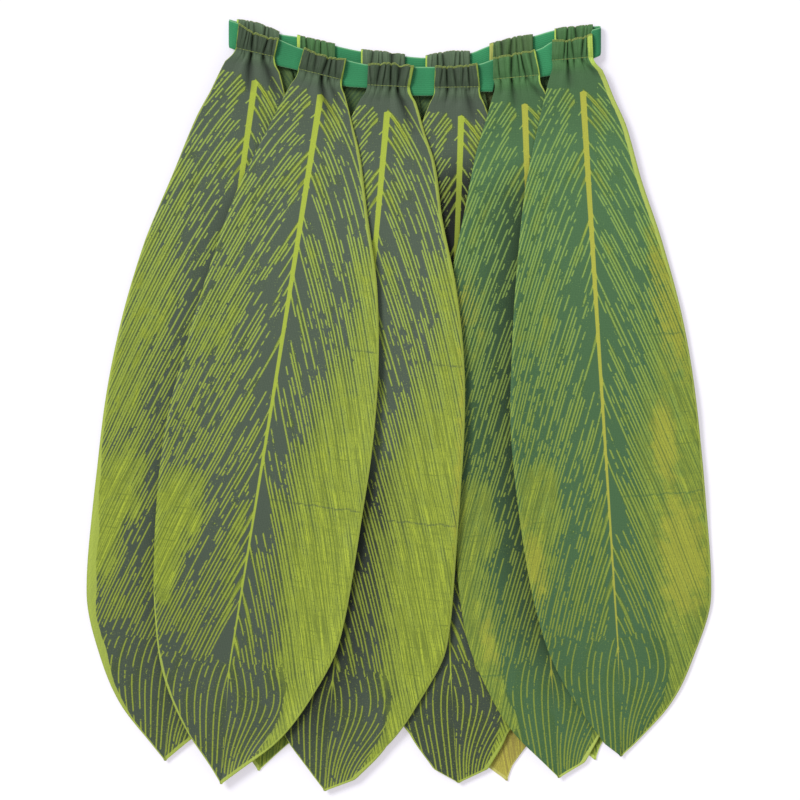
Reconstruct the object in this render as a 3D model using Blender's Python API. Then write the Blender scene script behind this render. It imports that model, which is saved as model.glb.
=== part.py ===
"""Ti leaf skirt, laid flat.

Twelve printed cloth leaves hang from one loop of waist elastic. Each leaf is one cut panel: its top
is folded over the elastic and stitched down, so it makes its own gathered casing. The skirt lies on a
flat surface with the six back leaves underneath, their inner side up, and the six front leaves on top.

X runs across the skirt, Y from the hem towards the waist and Z up from the surface. The tables are in
millimetres; the meshes are in metres.
"""
from collections import namedtuple
from math import cos, pi, sin

import bpy
import numpy as np

MM = 0.001

# Cloth and elastic, in mm
WALL = 1.1                # thickness of a leaf's cloth
CASING_WALL = 1.2         # the same cloth where it is gathered, so its slopes keep their thickness
ELASTIC_THICKNESS = 1.2
SEAM_GAP = 0.3            # between pieces, and between a hem and its own panel
LAYER_GAP = 0.35          # between leaves that lie on each other

# Heights of the mid-surfaces at the waist, in mm above the surface
BACK_PANEL_Z = 0.6
BACK_ELASTIC_Z = 2.1
BACK_HEM_Z = 4.1
FRONT_HEM_Z = 6.45
FRONT_ELASTIC_Z = 8.3
FRONT_PANEL_Z = 10.6
FRONT_STITCH_Z = 10.3

# The gathered casing
PLEATS = 7                # per casing
PANEL_PLEAT = 0.7         # height of a pleat above and below the mid-surface
BACK_HEM_PLEAT = 0.5
FRONT_HEM_PLEAT = 0.35
STITCH_PLEAT = 0.35
TOP_FOLD = 2.2            # how far the fold over the elastic bulges
PLEAT_SHIFT = 0.35        # how far a pleat strays from its even place, in half pleats
PLEAT_UNEVEN = 0.2        # share by which a pleat's height varies
HEM_END = 0.7             # from the stitch line to the hem's raw edge
HEM_CLEARANCE = 0.05      # more room between that edge and the panel
HEM_RISE = 2.3            # where the hem leaves the elastic to meet the panel
BACK_HEM_HEIGHT = 19.0    # from a back casing's top fold to its stitch line
BACK_CASING_RISE = 1.2    # the back casings stand this far above the elastic's edge
ELASTIC_LOW_INSET = 3.2   # the elastic bunches up between these inside a casing
ELASTIC_HIGH_INSET = 2.6

# The exposed elastic
BACK_BAND_WIDTH = 22.4
BAND_RAMP = 1.2           # the elastic spreads to its full width this far outside a casing
BAND_CLEARANCE = 0.5
FOLD_LEFT = -135.0
FOLD_RIGHT = 162.0
FOLD_SPLIT_Z = 5.2        # height at which the two halves of the loop meet
FOLD_STEPS = ((4.0, 0.0), (1.4, 0.7), (0.0, 2.3))  # (in from the fold, off the band's level)

# A leaf's body
BODY_COLUMNS = 8
BODY_ROWS = (0.015, 0.035, 0.06, 0.09, 0.13, 0.18, 0.24, 0.31, 0.39, 0.47,
             0.55, 0.63, 0.70, 0.77, 0.83, 0.88, 0.93, 0.965, 0.985, 1.0)
TIP_HALF_WIDTH = 0.8
NECK_TURN = 0.06          # the panel turns from its casing's line to its own axis over this share
CORNER_BLEND = 0.02       # and its sides leave the casing's corners over this one
FREE_FROM = 0.02          # the panel is held by its casing above this share of its length
DESCENT = 0.085           # a front leaf has come down from the waist by this share

# Outline of a leaf side: share of its greatest half-width, by share of the leaf's length
Section = namedtuple("Section", "along slim full")
SECTIONS = (
    Section(0.00, 0.20, 0.20),
    Section(0.03, 0.29, 0.285),
    Section(0.06, 0.365, 0.36),
    Section(0.10, 0.46, 0.47),
    Section(0.18, 0.64, 0.60),
    Section(0.28, 0.78, 0.78),
    Section(0.40, 0.91, 0.92),
    Section(0.54, 1.00, 0.98),
    Section(0.68, 0.945, 0.985),
    Section(0.78, 0.845, 0.96),
    Section(0.86, 0.69, 0.77),
    Section(0.93, 0.41, 0.50),
    Section(0.98, 0.11, 0.15),
    Section(1.00, 0.00, 0.00),
)
HIGH_BUMP = (0.03, 0.28, 0.60)   # where `high` starts, peaks and ends
BLUNT_BUMP = (0.93, 0.98, 1.00)  # where `blunt` starts, peaks and ends
FLARE_BUMP = (0.0, 0.025, 0.12)  # where `flare` starts, peaks and ends
LIFT_BUMP = (0.12, 0.50, 0.95)   # where `lift` starts, peaks and ends
LIFT_POWER = 2.5                 # a lifted side stays down until near its edge
BOW_SCALE = 6.75                 # makes along^2 (1 - along) peak at 1

# Corners of each casing: its top fold and its stitch line, left and right
Casing = namedtuple("Casing", "node tl_x tl_y tr_x tr_y bl_x bl_y br_x br_y")
FRONT_CASINGS = (
    Casing("leaf_front_1", -127.5, 304.5, -95.2, 292.5, -129.6, 285.6, -98.4, 278.4),
    Casing("leaf_front_2", -75.2, 285.2, -41.3, 276.0, -79.8, 268.8, -44.4, 260.0),
    Casing("leaf_front_3", -24.0, 272.0, 12.8, 270.4, -24.6, 256.0, 9.6, 254.4),
    Casing("leaf_front_4", 29.6, 270.4, 63.6, 272.4, 28.8, 254.0, 65.6, 254.4),
    Casing("leaf_front_5", 76.0, 276.8, 109.6, 283.6, 76.0, 260.4, 113.6, 264.0),
    Casing("leaf_front_6", 123.2, 291.2, 155.2, 296.4, 122.8, 275.6, 156.0, 278.4),
)
# Left and right ends of each back casing along the back of the loop
BackCasing = namedtuple("BackCasing", "node left right")
BACK_CASINGS = (
    BackCasing("leaf_back_1", -129.0, -95.0),
    BackCasing("leaf_back_2", -80.8, -50.4),
    BackCasing("leaf_back_3", -29.6, 5.6),
    BackCasing("leaf_back_4", 22.0, 57.6),
    BackCasing("leaf_back_5", 73.2, 108.0),
    BackCasing("leaf_back_6", 125.3, 156.0),
)
# Edges of the exposed elastic across the front, and its top edge across the back
Band = namedtuple("Band", "x low high")
FRONT_BAND = (
    Band(-135.0, 285.6, 308.0), Band(-96.0, 271.4, 292.8), Band(-81.0, 267.8, 286.4),
    Band(-44.0, 255.2, 276.6), Band(-24.0, 253.2, 272.2), Band(12.0, 247.2, 270.4),
    Band(29.0, 247.2, 270.4), Band(66.0, 250.4, 273.0), Band(75.0, 250.4, 276.0),
    Band(115.0, 262.3, 285.6), Band(122.0, 263.3, 290.0), Band(162.0, 279.4, 302.0),
)
BandTop = namedtuple("BandTop", "x high")
BACK_BAND = (
    BandTop(-135.0, 308.8), BandTop(-93.6, 296.8), BandTop(-80.8, 294.8), BandTop(-50.4, 287.6),
    BandTop(-29.6, 283.2), BandTop(5.6, 279.2), BandTop(22.0, 278.0), BandTop(57.6, 281.6),
    BandTop(73.2, 287.5), BandTop(108.0, 295.2), BandTop(125.3, 300.0), BandTop(162.0, 303.6),
)

# Each leaf: where its tip lies, how far its middle bows sideways, and its place in the pile
Leaf = namedtuple("Leaf", "node tip_x tip_y bow")
LEAVES = (  # from the surface up
    Leaf("leaf_back_5", 87.2, -300.8, -20.0),
    Leaf("leaf_back_2", -111.6, -292.8, 0.0),
    Leaf("leaf_back_4", 43.2, -290.4, 0.0),
    Leaf("leaf_back_6", 158.0, -284.0, -16.0),
    Leaf("leaf_back_1", -158.4, -266.4, 0.0),
    Leaf("leaf_back_3", -46.4, -292.0, 0.0),
    Leaf("leaf_front_4", 48.5, -302.4, -8.0),
    Leaf("leaf_front_5", 128.8, -298.4, 0.0),
    Leaf("leaf_front_1", -186.4, -284.8, 0.0),
    Leaf("leaf_front_3", -58.7, -308.8, 0.0),
    Leaf("leaf_front_6", 178.7, -281.3, 0.0),
    Leaf("leaf_front_2", -141.6, -303.2, 0.0),
)
# Each side of a leaf: greatest half-width, how full it is low down (0 slim, 1 full), how much wider
# it is high up (a share), how blunt its tip is, how far its neck flares, and how far its edge lifts
# off the pile (mm)
Side = namedtuple("Side", "node hand width low high blunt flare lift")
SIDES = (
    Side("leaf_front_1", -1, 85.0, 0.85, 0.06, 0.0, 5.0, 0.0),
    Side("leaf_front_1", +1, 81.0, 0.5, 0.0, 0.0, 0.0, 0.0),
    Side("leaf_front_2", -1, 84.0, 0.0, 0.0, 0.0, 0.0, 2.0),
    Side("leaf_front_2", +1, 82.4, 0.8, 0.05, 0.0, 0.0, 4.5),
    Side("leaf_front_3", -1, 81.6, 0.2, 0.0, 0.8, 0.0, 0.0),
    Side("leaf_front_3", +1, 87.2, 1.2, 0.0, 9.6, 0.0, 3.5),
    Side("leaf_front_4", -1, 81.6, 0.3, 0.0, 9.0, 0.0, 0.0),
    Side("leaf_front_4", +1, 81.6, 1.2, 0.0, 12.0, 0.0, 0.0),
    Side("leaf_front_5", -1, 73.6, 0.7, 0.08, 0.0, 0.0, 2.5),
    Side("leaf_front_5", +1, 81.6, 0.7, 0.0, 10.5, 0.0, 0.0),
    Side("leaf_front_6", -1, 70.4, 0.1, 0.0, 0.0, 0.0, 7.0),
    Side("leaf_front_6", +1, 83.0, 1.15, -0.03, 0.0, 0.0, 0.0),
    Side("leaf_back_1", -1, 80.0, 0.5, 0.0, 0.0, 0.0, 0.0),
    Side("leaf_back_1", +1, 80.0, 0.5, 0.0, 0.0, 6.0, 0.0),
    Side("leaf_back_2", -1, 80.0, 0.3, 0.0, 0.0, 6.0, 0.0),
    Side("leaf_back_2", +1, 80.0, 0.5, 0.0, 0.0, 6.0, 0.0),
    Side("leaf_back_3", -1, 80.0, 0.3, 0.0, 0.0, 6.0, 0.0),
    Side("leaf_back_3", +1, 80.0, 0.7, 0.0, 0.0, 6.0, 0.0),
    Side("leaf_back_4", -1, 80.0, 0.3, 0.0, 0.0, 6.0, 0.0),
    Side("leaf_back_4", +1, 80.0, 0.7, 0.0, 0.0, 6.0, 0.0),
    Side("leaf_back_5", -1, 78.0, 0.6, 0.0, 3.0, 6.0, 0.0),
    Side("leaf_back_5", +1, 78.0, 0.0, 0.0, -2.0, 6.0, 0.0),
    Side("leaf_back_6", -1, 78.0, 0.6, 0.0, 3.0, 6.0, 0.0),
    Side("leaf_back_6", +1, 78.0, 0.0, 0.0, -2.0, 0.0, 0.0),
)
# Soft folds that run down from a casing: place across the neck, height, and reach down the leaf
NeckFold = namedtuple("NeckFold", "across height reach")
NECK_FOLDS = (NeckFold(-0.5, 2.0, 0.15), NeckFold(0.0, 1.3, 0.10), NeckFold(0.5, 2.6, 0.19))
FOLD_PEAK = 0.3           # share of its reach where a fold is highest
FOLD_HALF_WIDTH = 0.22
FOLD_DRIFT = 0.12         # how far, across, the folds shift from leaf to leaf
BACK_FOLD_SHARE = 0.4     # the back leaves' folds are pressed flatter

# The drape: heights are settled on a raster of the pile
CELL = 2.0
RASTER_X = (-262.0, 262.0)
RASTER_Y = (-322.0, 322.0)
DRAPE_ROUNDS = 60
DRAPE_EASE = 0.6          # share of the way to its neighbours' mean that a point moves in a round
DRAPE_SAG = 0.02          # how far it sinks in a round, in mm
LIFTS_A_ROUND = 8
SETTLE_ROUNDS = 400
ENOUGH = 1e-4             # mm

# (sRGB, roughness)
SLATE_LEAF = ((0.42, 0.49, 0.25), 0.65)
GREEN_LEAF = ((0.38, 0.51, 0.27), 0.65)
INSIDE_LEAF = ((0.33, 0.42, 0.24), 0.70)
ELASTIC_GREEN = ((0.24, 0.54, 0.33), 0.75)
GREENER = ("leaf_front_5", "leaf_front_6")


def curve(rows, column):
    """A smooth curve through a table's column by its first column: a cubic on each stretch, with
    slopes limited so that it never overshoots (Fritsch-Carlson)."""
    x = np.array([row[0] for row in rows])
    y = np.array([getattr(row, column) for row in rows])
    step = np.diff(x)
    rise = np.diff(y) / step
    slope = np.concatenate([[rise[0]], (rise[:-1] + rise[1:]) / 2, [rise[-1]]])
    turns = rise[:-1] * rise[1:] <= 0
    slope[1:-1][turns] = 0.0
    limit = 3 * np.minimum(np.abs(np.append(rise, rise[-1])), np.abs(np.insert(rise, 0, rise[0])))
    slope = np.clip(slope, -limit, limit)

    def at(value):
        value = np.clip(value, x[0], x[-1])
        i = np.clip(np.searchsorted(x, value, side="right") - 1, 0, len(step) - 1)
        s = (value - x[i]) / step[i]
        return (y[i] * (1 + 2 * s) * (1 - s) ** 2 + y[i + 1] * s ** 2 * (3 - 2 * s)
                + step[i] * (slope[i] * s * (1 - s) ** 2 + slope[i + 1] * s ** 2 * (s - 1)))
    return at


def bump(value, start, peak, end):
    """0 outside start to end, rising in a straight line to 1 at peak."""
    return np.interp(value, (start, peak, end), (0.0, 1.0, 0.0))


slim, full = curve(SECTIONS, "slim"), curve(SECTIONS, "full")
front_low, front_high = curve(FRONT_BAND, "low"), curve(FRONT_BAND, "high")
back_high = curve(BACK_BAND, "high")


def half_width(side, along):
    """Half-width of one side of a leaf at a share of its length, in mm."""
    share = slim(along) * (1 - side.low) + full(along) * side.low
    wide = side.width * share * (1 + side.high * bump(along, *HIGH_BUMP))
    wide = wide + side.blunt * bump(along, *BLUNT_BUMP) + side.flare * bump(along, *FLARE_BUMP)
    return np.maximum(wide, TIP_HALF_WIDTH)


def casing_of(node):
    """The four corners of a casing, as arrays: top left, top right, stitch left, stitch right."""
    for row in FRONT_CASINGS:
        if row.node == node:
            return np.array(row[1:]).reshape(4, 2)
    row = next(r for r in BACK_CASINGS if r.node == node)
    top = np.array([(x, float(back_high(x)) + BACK_CASING_RISE) for x in (row.left, row.right)])
    return np.vstack([top, top - (0.0, BACK_HEM_HEIGHT)])


def across_casing(node, u):
    """Points on the stitch line and unit directions up to the fold, with the height between them."""
    tl, tr, bl, br = casing_of(node)
    share = ((np.asarray(u) + 1) / 2)[:, None]
    low = bl + (br - bl) * share
    up = tl + (tr - tl) * share - low
    height = np.linalg.norm(up, axis=1, keepdims=True)
    return low, up / height, height


def pleats(index):
    """Places across a casing and the height of the pleat there, -1 to 1: up, down, up and so on,
    a little uneven."""
    count = 2 * PLEATS
    i = np.arange(count + 1)
    u = -1 + 2 * i / count
    u[1:-1] += PLEAT_SHIFT / count * np.sin(2.3 * i[1:-1] + 1.7 * index)
    uneven = 1 - PLEAT_UNEVEN + PLEAT_UNEVEN * np.sin(1.9 * i + index)
    wave = np.where(i % 2 == 0, -1.0, 1.0) * uneven
    return u, wave


def hook(front, height):
    """Mid-surface of a casing's section, as rows of (up from the stitch line, z, pleat height,
    whether the pleat stands straight up), from the hem's raw edge over the elastic to the stitch."""
    hem, panel = (FRONT_HEM_Z, FRONT_PANEL_Z) if front else (BACK_HEM_Z, BACK_PANEL_Z)
    hem_pleat, panel_pleat = (FRONT_HEM_PLEAT, PANEL_PLEAT) if front else (BACK_HEM_PLEAT, 0.0)
    stitch = FRONT_STITCH_Z if front else BACK_PANEL_Z
    end = CASING_WALL + SEAM_GAP + (HEM_CLEARANCE if front else STITCH_PLEAT)
    middle, radius = (hem + panel) / 2, (panel - hem) / 2
    crown = height - CASING_WALL / 2 - TOP_FOLD
    rows = [(HEM_END + 0 * height, stitch - end if front else stitch + end, STITCH_PLEAT, True),
            (HEM_RISE + 0 * height, hem, hem_pleat, False),
            (crown, hem, hem_pleat, False)]
    for turn in (-pi / 4, 0.0, pi / 4):
        pleat = (hem_pleat + panel_pleat) / 2
        rows.append((crown + TOP_FOLD * cos(turn), middle + radius * sin(turn), pleat, False))
    rows += [(crown, panel, panel_pleat, False),
             (0.5 * height, panel, panel_pleat, False),
             (HEM_RISE + 0 * height, panel, panel_pleat, False)]
    return rows, (stitch, STITCH_PLEAT if front else 0.0)


def casing_rows(node, index):
    """The gathered part of a leaf: rows of u and the outer and inner points."""
    front = "front" in node
    u, wave = pleats(index)
    low, up, height = across_casing(node, u)
    h = height[:, 0]
    rows, (stitch_z, stitch_pleat) = hook(front, h)
    a = np.array([np.broadcast_to(r[0], h.shape) for r in rows] + [0 * h])
    z = np.array([np.full(h.shape, r[1]) for r in rows] + [np.full(h.shape, stitch_z)])
    lean_a, lean_z = np.gradient(a, axis=0), np.gradient(z, axis=0)
    size = np.hypot(lean_a, lean_z)
    sign = 1.0 if front else -1.0
    out_a, out_z = sign * lean_z / size, -sign * lean_a / size
    out_a[-1], out_z[-1] = 0.0, sign
    made = []
    for k in range(len(a)):
        lift = rows[k][2] if k < len(rows) else stitch_pleat
        upright = k == len(rows) or rows[k][3]
        mid_a = a[k] + (0 if upright else out_a[k] * lift * wave)
        mid_z = z[k] + (lift * wave if upright else out_z[k] * lift * wave)
        pair = []
        for off in (CASING_WALL / 2, -CASING_WALL / 2):
            xy = low + up * (mid_a + out_a[k] * off)[:, None]
            pair.append(np.column_stack([xy, mid_z + out_z[k] * off]))
        made.append((u, pair[0], pair[1]))
    return made


def body_plan(leaf):
    """Plan of a leaf's body: for each row below the stitch line, u and the points in X and Y."""
    sides = {s.hand: s for s in SIDES if s.node == leaf.node}
    tl, tr, bl, br = casing_of(leaf.node)
    base, tip = (bl + br) / 2, np.array([leaf.tip_x, leaf.tip_y])
    axis = (tip - base) / np.linalg.norm(tip - base)
    right = np.array([-axis[1], axis[0]])
    u = np.linspace(-1, 1, BODY_COLUMNS + 1)
    plan = []
    for t in BODY_ROWS:
        centre = base + (tip - base) * t + right * leaf.bow * BOW_SCALE * t * t * (1 - t)
        turn, corner = max(0.0, 1 - t / NECK_TURN), max(0.0, 1 - t / CORNER_BLEND)
        line = right * (1 - turn) + (br - bl) / np.linalg.norm(br - bl) * turn
        ends = [centre + hand * line * half_width(sides[hand], t) for hand in (-1, 1)]
        ends = [e * (1 - corner) + (c + (tip - base) * t) * corner for e, c in zip(ends, (bl, br))]
        points = [ends[0] * max(0.0, -v) + ends[1] * max(0.0, v) + centre * (1 - abs(v)) for v in u]
        if t == BODY_ROWS[-1]:
            points, columns = [points[0], points[-1]], u[[0, -1]]
        else:
            columns = u
        plan.append((t, columns, np.array(points)))
    return plan


def neck_folds(t, u, index, share):
    """Height of the soft folds below a casing."""
    z = np.zeros(len(u))
    for n, fold in enumerate(NECK_FOLDS):
        place = fold.across + FOLD_DRIFT * sin(1.3 * index + 2.1 * n)
        fade = bump(t, 0.0, FOLD_PEAK * fold.reach, fold.reach)
        z += share * fold.height * fade * np.maximum(0.0, 1 - np.abs(u - place) / FOLD_HALF_WIDTH)
    return z


def edge_lift(node, t, u):
    """How far a row stands off the pile towards its edges."""
    lifts = {s.hand: s.lift for s in SIDES if s.node == node}
    side = np.where(u < 0, lifts[-1], lifts[1])
    return side * np.abs(u) ** LIFT_POWER * bump(t, *LIFT_BUMP)


def zip_rows(ua, ub):
    """Triangles between two rows of points at places ua and ub, as ((row, place), ...) triples."""
    i = j = 0
    made = []
    while i < len(ua) - 1 or j < len(ub) - 1:
        if j == len(ub) - 1 or (i < len(ua) - 1 and ua[i + 1] + ua[i] <= ub[j + 1] + ub[j]):
            made.append(((0, i), (1, j), (0, i + 1)))
            i += 1
        else:
            made.append(((0, i), (1, j), (1, j + 1)))
            j += 1
    return made


class Raster:
    """The lowest height that the underside of the next layer may have, on a grid of cells."""

    def __init__(self):
        self.nx = int((RASTER_X[1] - RASTER_X[0]) / CELL)
        self.ny = int((RASTER_Y[1] - RASTER_Y[0]) / CELL)
        self.floor = np.zeros((self.ny, self.nx))

    def cells(self, points, triangles):
        """Every cell centre inside each triangle: its cell, corners and weights."""
        where, corners, weights = [], [], []
        for tri in triangles:
            p = (points[list(tri), :2] - (RASTER_X[0], RASTER_Y[0])) / CELL - 0.5
            low = np.maximum(np.floor(p.min(0)).astype(int), 0)
            high = np.minimum(np.ceil(p.max(0)).astype(int), (self.nx - 1, self.ny - 1))
            gx, gy = np.meshgrid(np.arange(low[0], high[0] + 1), np.arange(low[1], high[1] + 1))
            q = np.column_stack([gx.ravel(), gy.ravel()])
            e, f = p[1] - p[0], p[2] - p[0]
            area = e[0] * f[1] - e[1] * f[0]
            if abs(area) < 1e-9:
                continue
            d = q - p[0]
            b = (d[:, 0] * f[1] - d[:, 1] * f[0]) / area
            c = (e[0] * d[:, 1] - e[1] * d[:, 0]) / area
            w = np.column_stack([1 - b - c, b, c])
            inside = w.min(1) > -1e-6
            where.append(q[inside, 1] * self.nx + q[inside, 0])
            corners.append(np.tile(tri, (inside.sum(), 1)))
            weights.append(w[inside])
        return np.concatenate(where), np.concatenate(corners), np.concatenate(weights)

    def widened(self):
        """The heights spread by one cell each way, for edges that fall between cell centres."""
        high = np.pad(self.floor, 1, mode="edge")
        spread = [high[j:j + self.ny, i:i + self.nx] for j in range(3) for i in range(3)]
        return np.max(spread, axis=0).ravel()

    def add(self, points, triangles):
        """Lays a surface, by its top, on the pile."""
        where, corners, weights = self.cells(points, triangles)
        top = (points[corners, 2] * weights).sum(1) + LAYER_GAP
        np.maximum.at(self.floor.reshape(-1), where, top)


def drape(points, triangles, free, neighbours, raster):
    """Settles a leaf on the pile. Each round draws every free point towards its neighbours and down,
    then lifts the corners of any triangle whose underside is too low somewhere."""
    where, corners, weights = raster.cells(points, triangles)
    need = raster.widened()[where] + WALL / 2
    z, rest = points[:, 2].copy(), points[:, 2].copy()
    norm = (weights ** 2).sum(1, keepdims=True)

    def lift(rounds):
        for _ in range(rounds):
            short = need - (z[corners] * weights).sum(1)
            low = short > ENOUGH
            if not low.any():
                return
            push = short[low, None] * weights[low] / norm[low]
            rise = np.zeros(len(z))
            np.maximum.at(rise, corners[low].ravel(), push.ravel())
            z[free] += rise[free]

    for _ in range(DRAPE_ROUNDS):
        mean = np.array([z[n].mean() for n in neighbours])
        eased = z + DRAPE_EASE * (mean - z) - DRAPE_SAG
        z[free] = np.maximum(rest[free], eased[free])
        lift(LIFTS_A_ROUND)
    lift(SETTLE_ROUNDS)
    return z


def solid(name, outer, inner, rows, look):
    """Keeps one closed body from a leaf's outer and inner points. rows lists (first index, u)."""
    count = len(outer)
    faces = []
    for (a, ua), (b, ub) in zip(rows, rows[1:]):
        for tri in zip_rows(ua, ub):
            ids = [(a, b)[row] + place for row, place in tri]
            faces.append(ids)
            faces.append([count + i for i in reversed(ids)])
        for i, j in ((a, b), (b + len(ub) - 1, a + len(ua) - 1)):
            faces += [[j, i, count + i], [j, count + i, count + j]]
    for a, ua, flip in ((*rows[0], False), (*rows[-1], True)):
        for i in range(a, a + len(ua) - 1):
            quad = [i, i + 1, count + i + 1, count + i]
            quad = quad[::-1] if flip else quad
            faces += [[quad[0], quad[1], quad[2]], [quad[0], quad[2], quad[3]]]
    body(name, np.vstack([outer, inner]), faces, look)


BODIES = []


def body(name, points, faces, look):
    """Keeps a closed mesh, turned right side out, until the whole skirt can be centred."""
    p = points[np.array(faces)]
    volume = np.einsum("ij,ij->i", p[:, 0], np.cross(p[:, 1], p[:, 2])).sum()
    if volume < 0:
        faces = [f[::-1] for f in faces]
    BODIES.append((name, points, faces, look))


def add_leaf(leaf, raster):
    """Lays one leaf on the pile and keeps its body."""
    front = "front" in leaf.node
    index = int(leaf.node[-1]) + (0 if front else 6)
    gathered = casing_rows(leaf.node, index)
    plan = body_plan(leaf)
    rows, outer, inner, count = [], [], [], 0
    lifts = [np.zeros(len(gathered[-1][0]))]
    for u, out, inn in gathered:
        rows.append((count, u))
        outer.append(out)
        inner.append(inn)
        count += len(u)
    stitch = rows[-1]
    mids = [(gathered[-1][1] + gathered[-1][2]) / 2]
    for t, u, xy in plan:
        rows.append((count, u))
        count += len(u)
        if front:
            base = np.interp(t, (FREE_FROM, DESCENT), (FRONT_STITCH_Z, WALL / 2))
        else:
            base = BACK_PANEL_Z if t < FREE_FROM else WALL / 2
        z = base + neck_folds(t, u, index, 1.0 if front else BACK_FOLD_SHARE)
        mids.append(np.column_stack([xy, z]))
        lifts.append(edge_lift(leaf.node, t, u))
    points = np.vstack(mids)
    body_rows = [(first - stitch[0], u) for first, u in rows[len(gathered) - 1:]]
    triangles, neighbours = [], [set() for _ in points]
    for (a, ua), (b, ub) in zip(body_rows, body_rows[1:]):
        for tri in zip_rows(ua, ub):
            ids = [(a, b)[row] + place for row, place in tri]
            triangles.append(ids)
            for i in ids:
                neighbours[i].update(ids)
    held = sum(len(u) for (first, u), t in zip(body_rows, (0.0,) + BODY_ROWS) if t < FREE_FROM)
    free = np.arange(len(points)) >= held
    points[:, 2] = drape(points, triangles, free, [sorted(n) for n in neighbours], raster)
    points[:, 2] += np.concatenate(lifts)
    top = points + (0, 0, WALL / 2)
    raster.add(top, triangles)
    half = np.array([0, 0, WALL / 2 if front else -WALL / 2])
    lower = points[len(stitch[1]):]
    outer, inner = np.vstack(outer + [lower + half]), np.vstack(inner + [lower - half])
    casing = [(a, b) for a, b in zip(rows[:len(gathered)], rows[1:len(gathered)])]
    casing_triangles = [[(a, b)[row] + place for row, place in tri]
                        for (a, ua), (b, ub) in casing for tri in zip_rows(ua, ub)]
    raster.add(outer, casing_triangles)
    raster.add(inner, casing_triangles)
    look = (GREEN_LEAF if leaf.node in GREENER else SLATE_LEAF) if front else INSIDE_LEAF
    solid(leaf.node, outer, inner, rows, look)


def inside_edges(node, x):
    """Low and high edge of the bunched elastic inside a casing, at a place across it."""
    tl, tr, bl, br = casing_of(node)
    low = np.interp(x, (bl[0], br[0]), (bl[1], br[1])) + ELASTIC_LOW_INSET
    high = np.interp(x, (tl[0], tr[0]), (tl[1], tr[1])) - ELASTIC_HIGH_INSET
    return float(low), float(high)


def add_elastic(node, front, raster):
    """Half of the waist elastic: a flat band that narrows inside each casing and turns down, or up,
    at the side folds to meet the other half."""
    level = FRONT_ELASTIC_Z if front else BACK_ELASTIC_Z
    way = -1.0 if front else 1.0
    end = FOLD_SPLIT_Z - way * SEAM_GAP / 2

    def edges(x):
        if front:
            return float(front_low(x)), float(front_high(x))
        return float(back_high(x)) - BACK_BAND_WIDTH, float(back_high(x))

    stations = []  # (x, z, low, high)
    for fold, hand in ((FOLD_LEFT, 1.0), (FOLD_RIGHT, -1.0)):
        turn = [(fold, end) + edges(fold)]
        turn += [(fold + hand * inward, level + way * off) + edges(fold) for inward, off
                 in reversed(FOLD_STEPS)]
        stations += turn
    for row in FRONT_CASINGS if front else BACK_CASINGS:
        tl, tr, bl, br = casing_of(row.node)
        left, right = min(tl[0], bl[0]) - BAND_CLEARANCE, max(tr[0], br[0]) + BAND_CLEARANCE
        for x in (left, right):
            stations.append((x, level) + inside_edges(row.node, x))
        for x in (left - BAND_RAMP, right + BAND_RAMP):
            if FOLD_LEFT + FOLD_STEPS[0][0] < x < FOLD_RIGHT - FOLD_STEPS[0][0]:
                stations.append((x, level) + edges(x))
    middle = (FOLD_LEFT + FOLD_RIGHT) / 2
    stations.sort(key=lambda s: (s[0], -abs(s[1] - level) if s[0] < middle else abs(s[1] - level)))
    path = np.array([(x, z) for x, z, _, _ in stations])
    lean = np.gradient(path, axis=0)
    lean /= np.linalg.norm(lean, axis=1, keepdims=True)
    out = np.column_stack([-lean[:, 1], lean[:, 0]]) * ELASTIC_THICKNESS / 2
    points = []
    for (x, z, low, high), (ox, oz) in zip(stations, out):
        points += [(x + ox, low, z + oz), (x + ox, high, z + oz),
                   (x - ox, high, z - oz), (x - ox, low, z - oz)]
    points = np.array(points)
    faces = []
    for k in range(len(stations) - 1):
        for c in range(4):
            i, j = 4 * k + c, 4 * k + (c + 1) % 4
            faces += [[i, i + 4, j + 4], [i, j + 4, j]]
    last = 4 * (len(stations) - 1)
    faces += [[0, 1, 2], [0, 2, 3], [last + 2, last + 1, last], [last + 3, last + 2, last]]
    raster.add(points, faces)
    body(node, points, faces, ELASTIC_GREEN)


def linear(value):
    """A colour channel from sRGB to linear."""
    return value / 12.92 if value <= 0.04045 else ((value + 0.055) / 1.055) ** 2.4


def add_object(name, points, faces, look):
    """A mesh object in metres, smooth shaded, with its own material."""
    mesh = bpy.data.meshes.new(name)
    mesh.from_pydata((points * MM).tolist(), [], [list(f) for f in faces])
    mesh.shade_smooth()
    material = bpy.data.materials.new(name)
    material.use_nodes = True
    shader = material.node_tree.nodes["Principled BSDF"]
    colour, rough = look
    shader.inputs["Base Color"].default_value = (*[linear(c) for c in colour], 1.0)
    shader.inputs["Roughness"].default_value = rough
    shader.inputs["Metallic"].default_value = 0.0
    mesh.materials.append(material)
    bpy.context.scene.collection.objects.link(bpy.data.objects.new(name, mesh))


def main():
    """Lays the pile from the surface up, then centres it over the origin."""
    for ob in list(bpy.data.objects):
        bpy.data.objects.remove(ob, do_unlink=True)
    raster = Raster()
    backs = [leaf for leaf in LEAVES if "back" in leaf.node]
    for leaf in backs:
        add_leaf(leaf, raster)
    add_elastic("elastic_back", False, raster)
    add_elastic("elastic_front", True, raster)
    for leaf in LEAVES[len(backs):]:
        add_leaf(leaf, raster)
    every = np.vstack([points for _, points, _, _ in BODIES])
    centre = (every.min(0) + every.max(0)) / 2
    centre[2] = every[:, 2].min()
    for name, points, faces, look in BODIES:
        add_object(name, points - centre, faces, look)


main()
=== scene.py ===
"""Ti leaf skirt: cloth, elastic, thread and stage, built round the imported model.

Lengths in the tables are millimetres. X runs across the skirt, Y from the hem to the waist, Z up.
"""

from collections import namedtuple
from functools import partial
from math import pi

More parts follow.
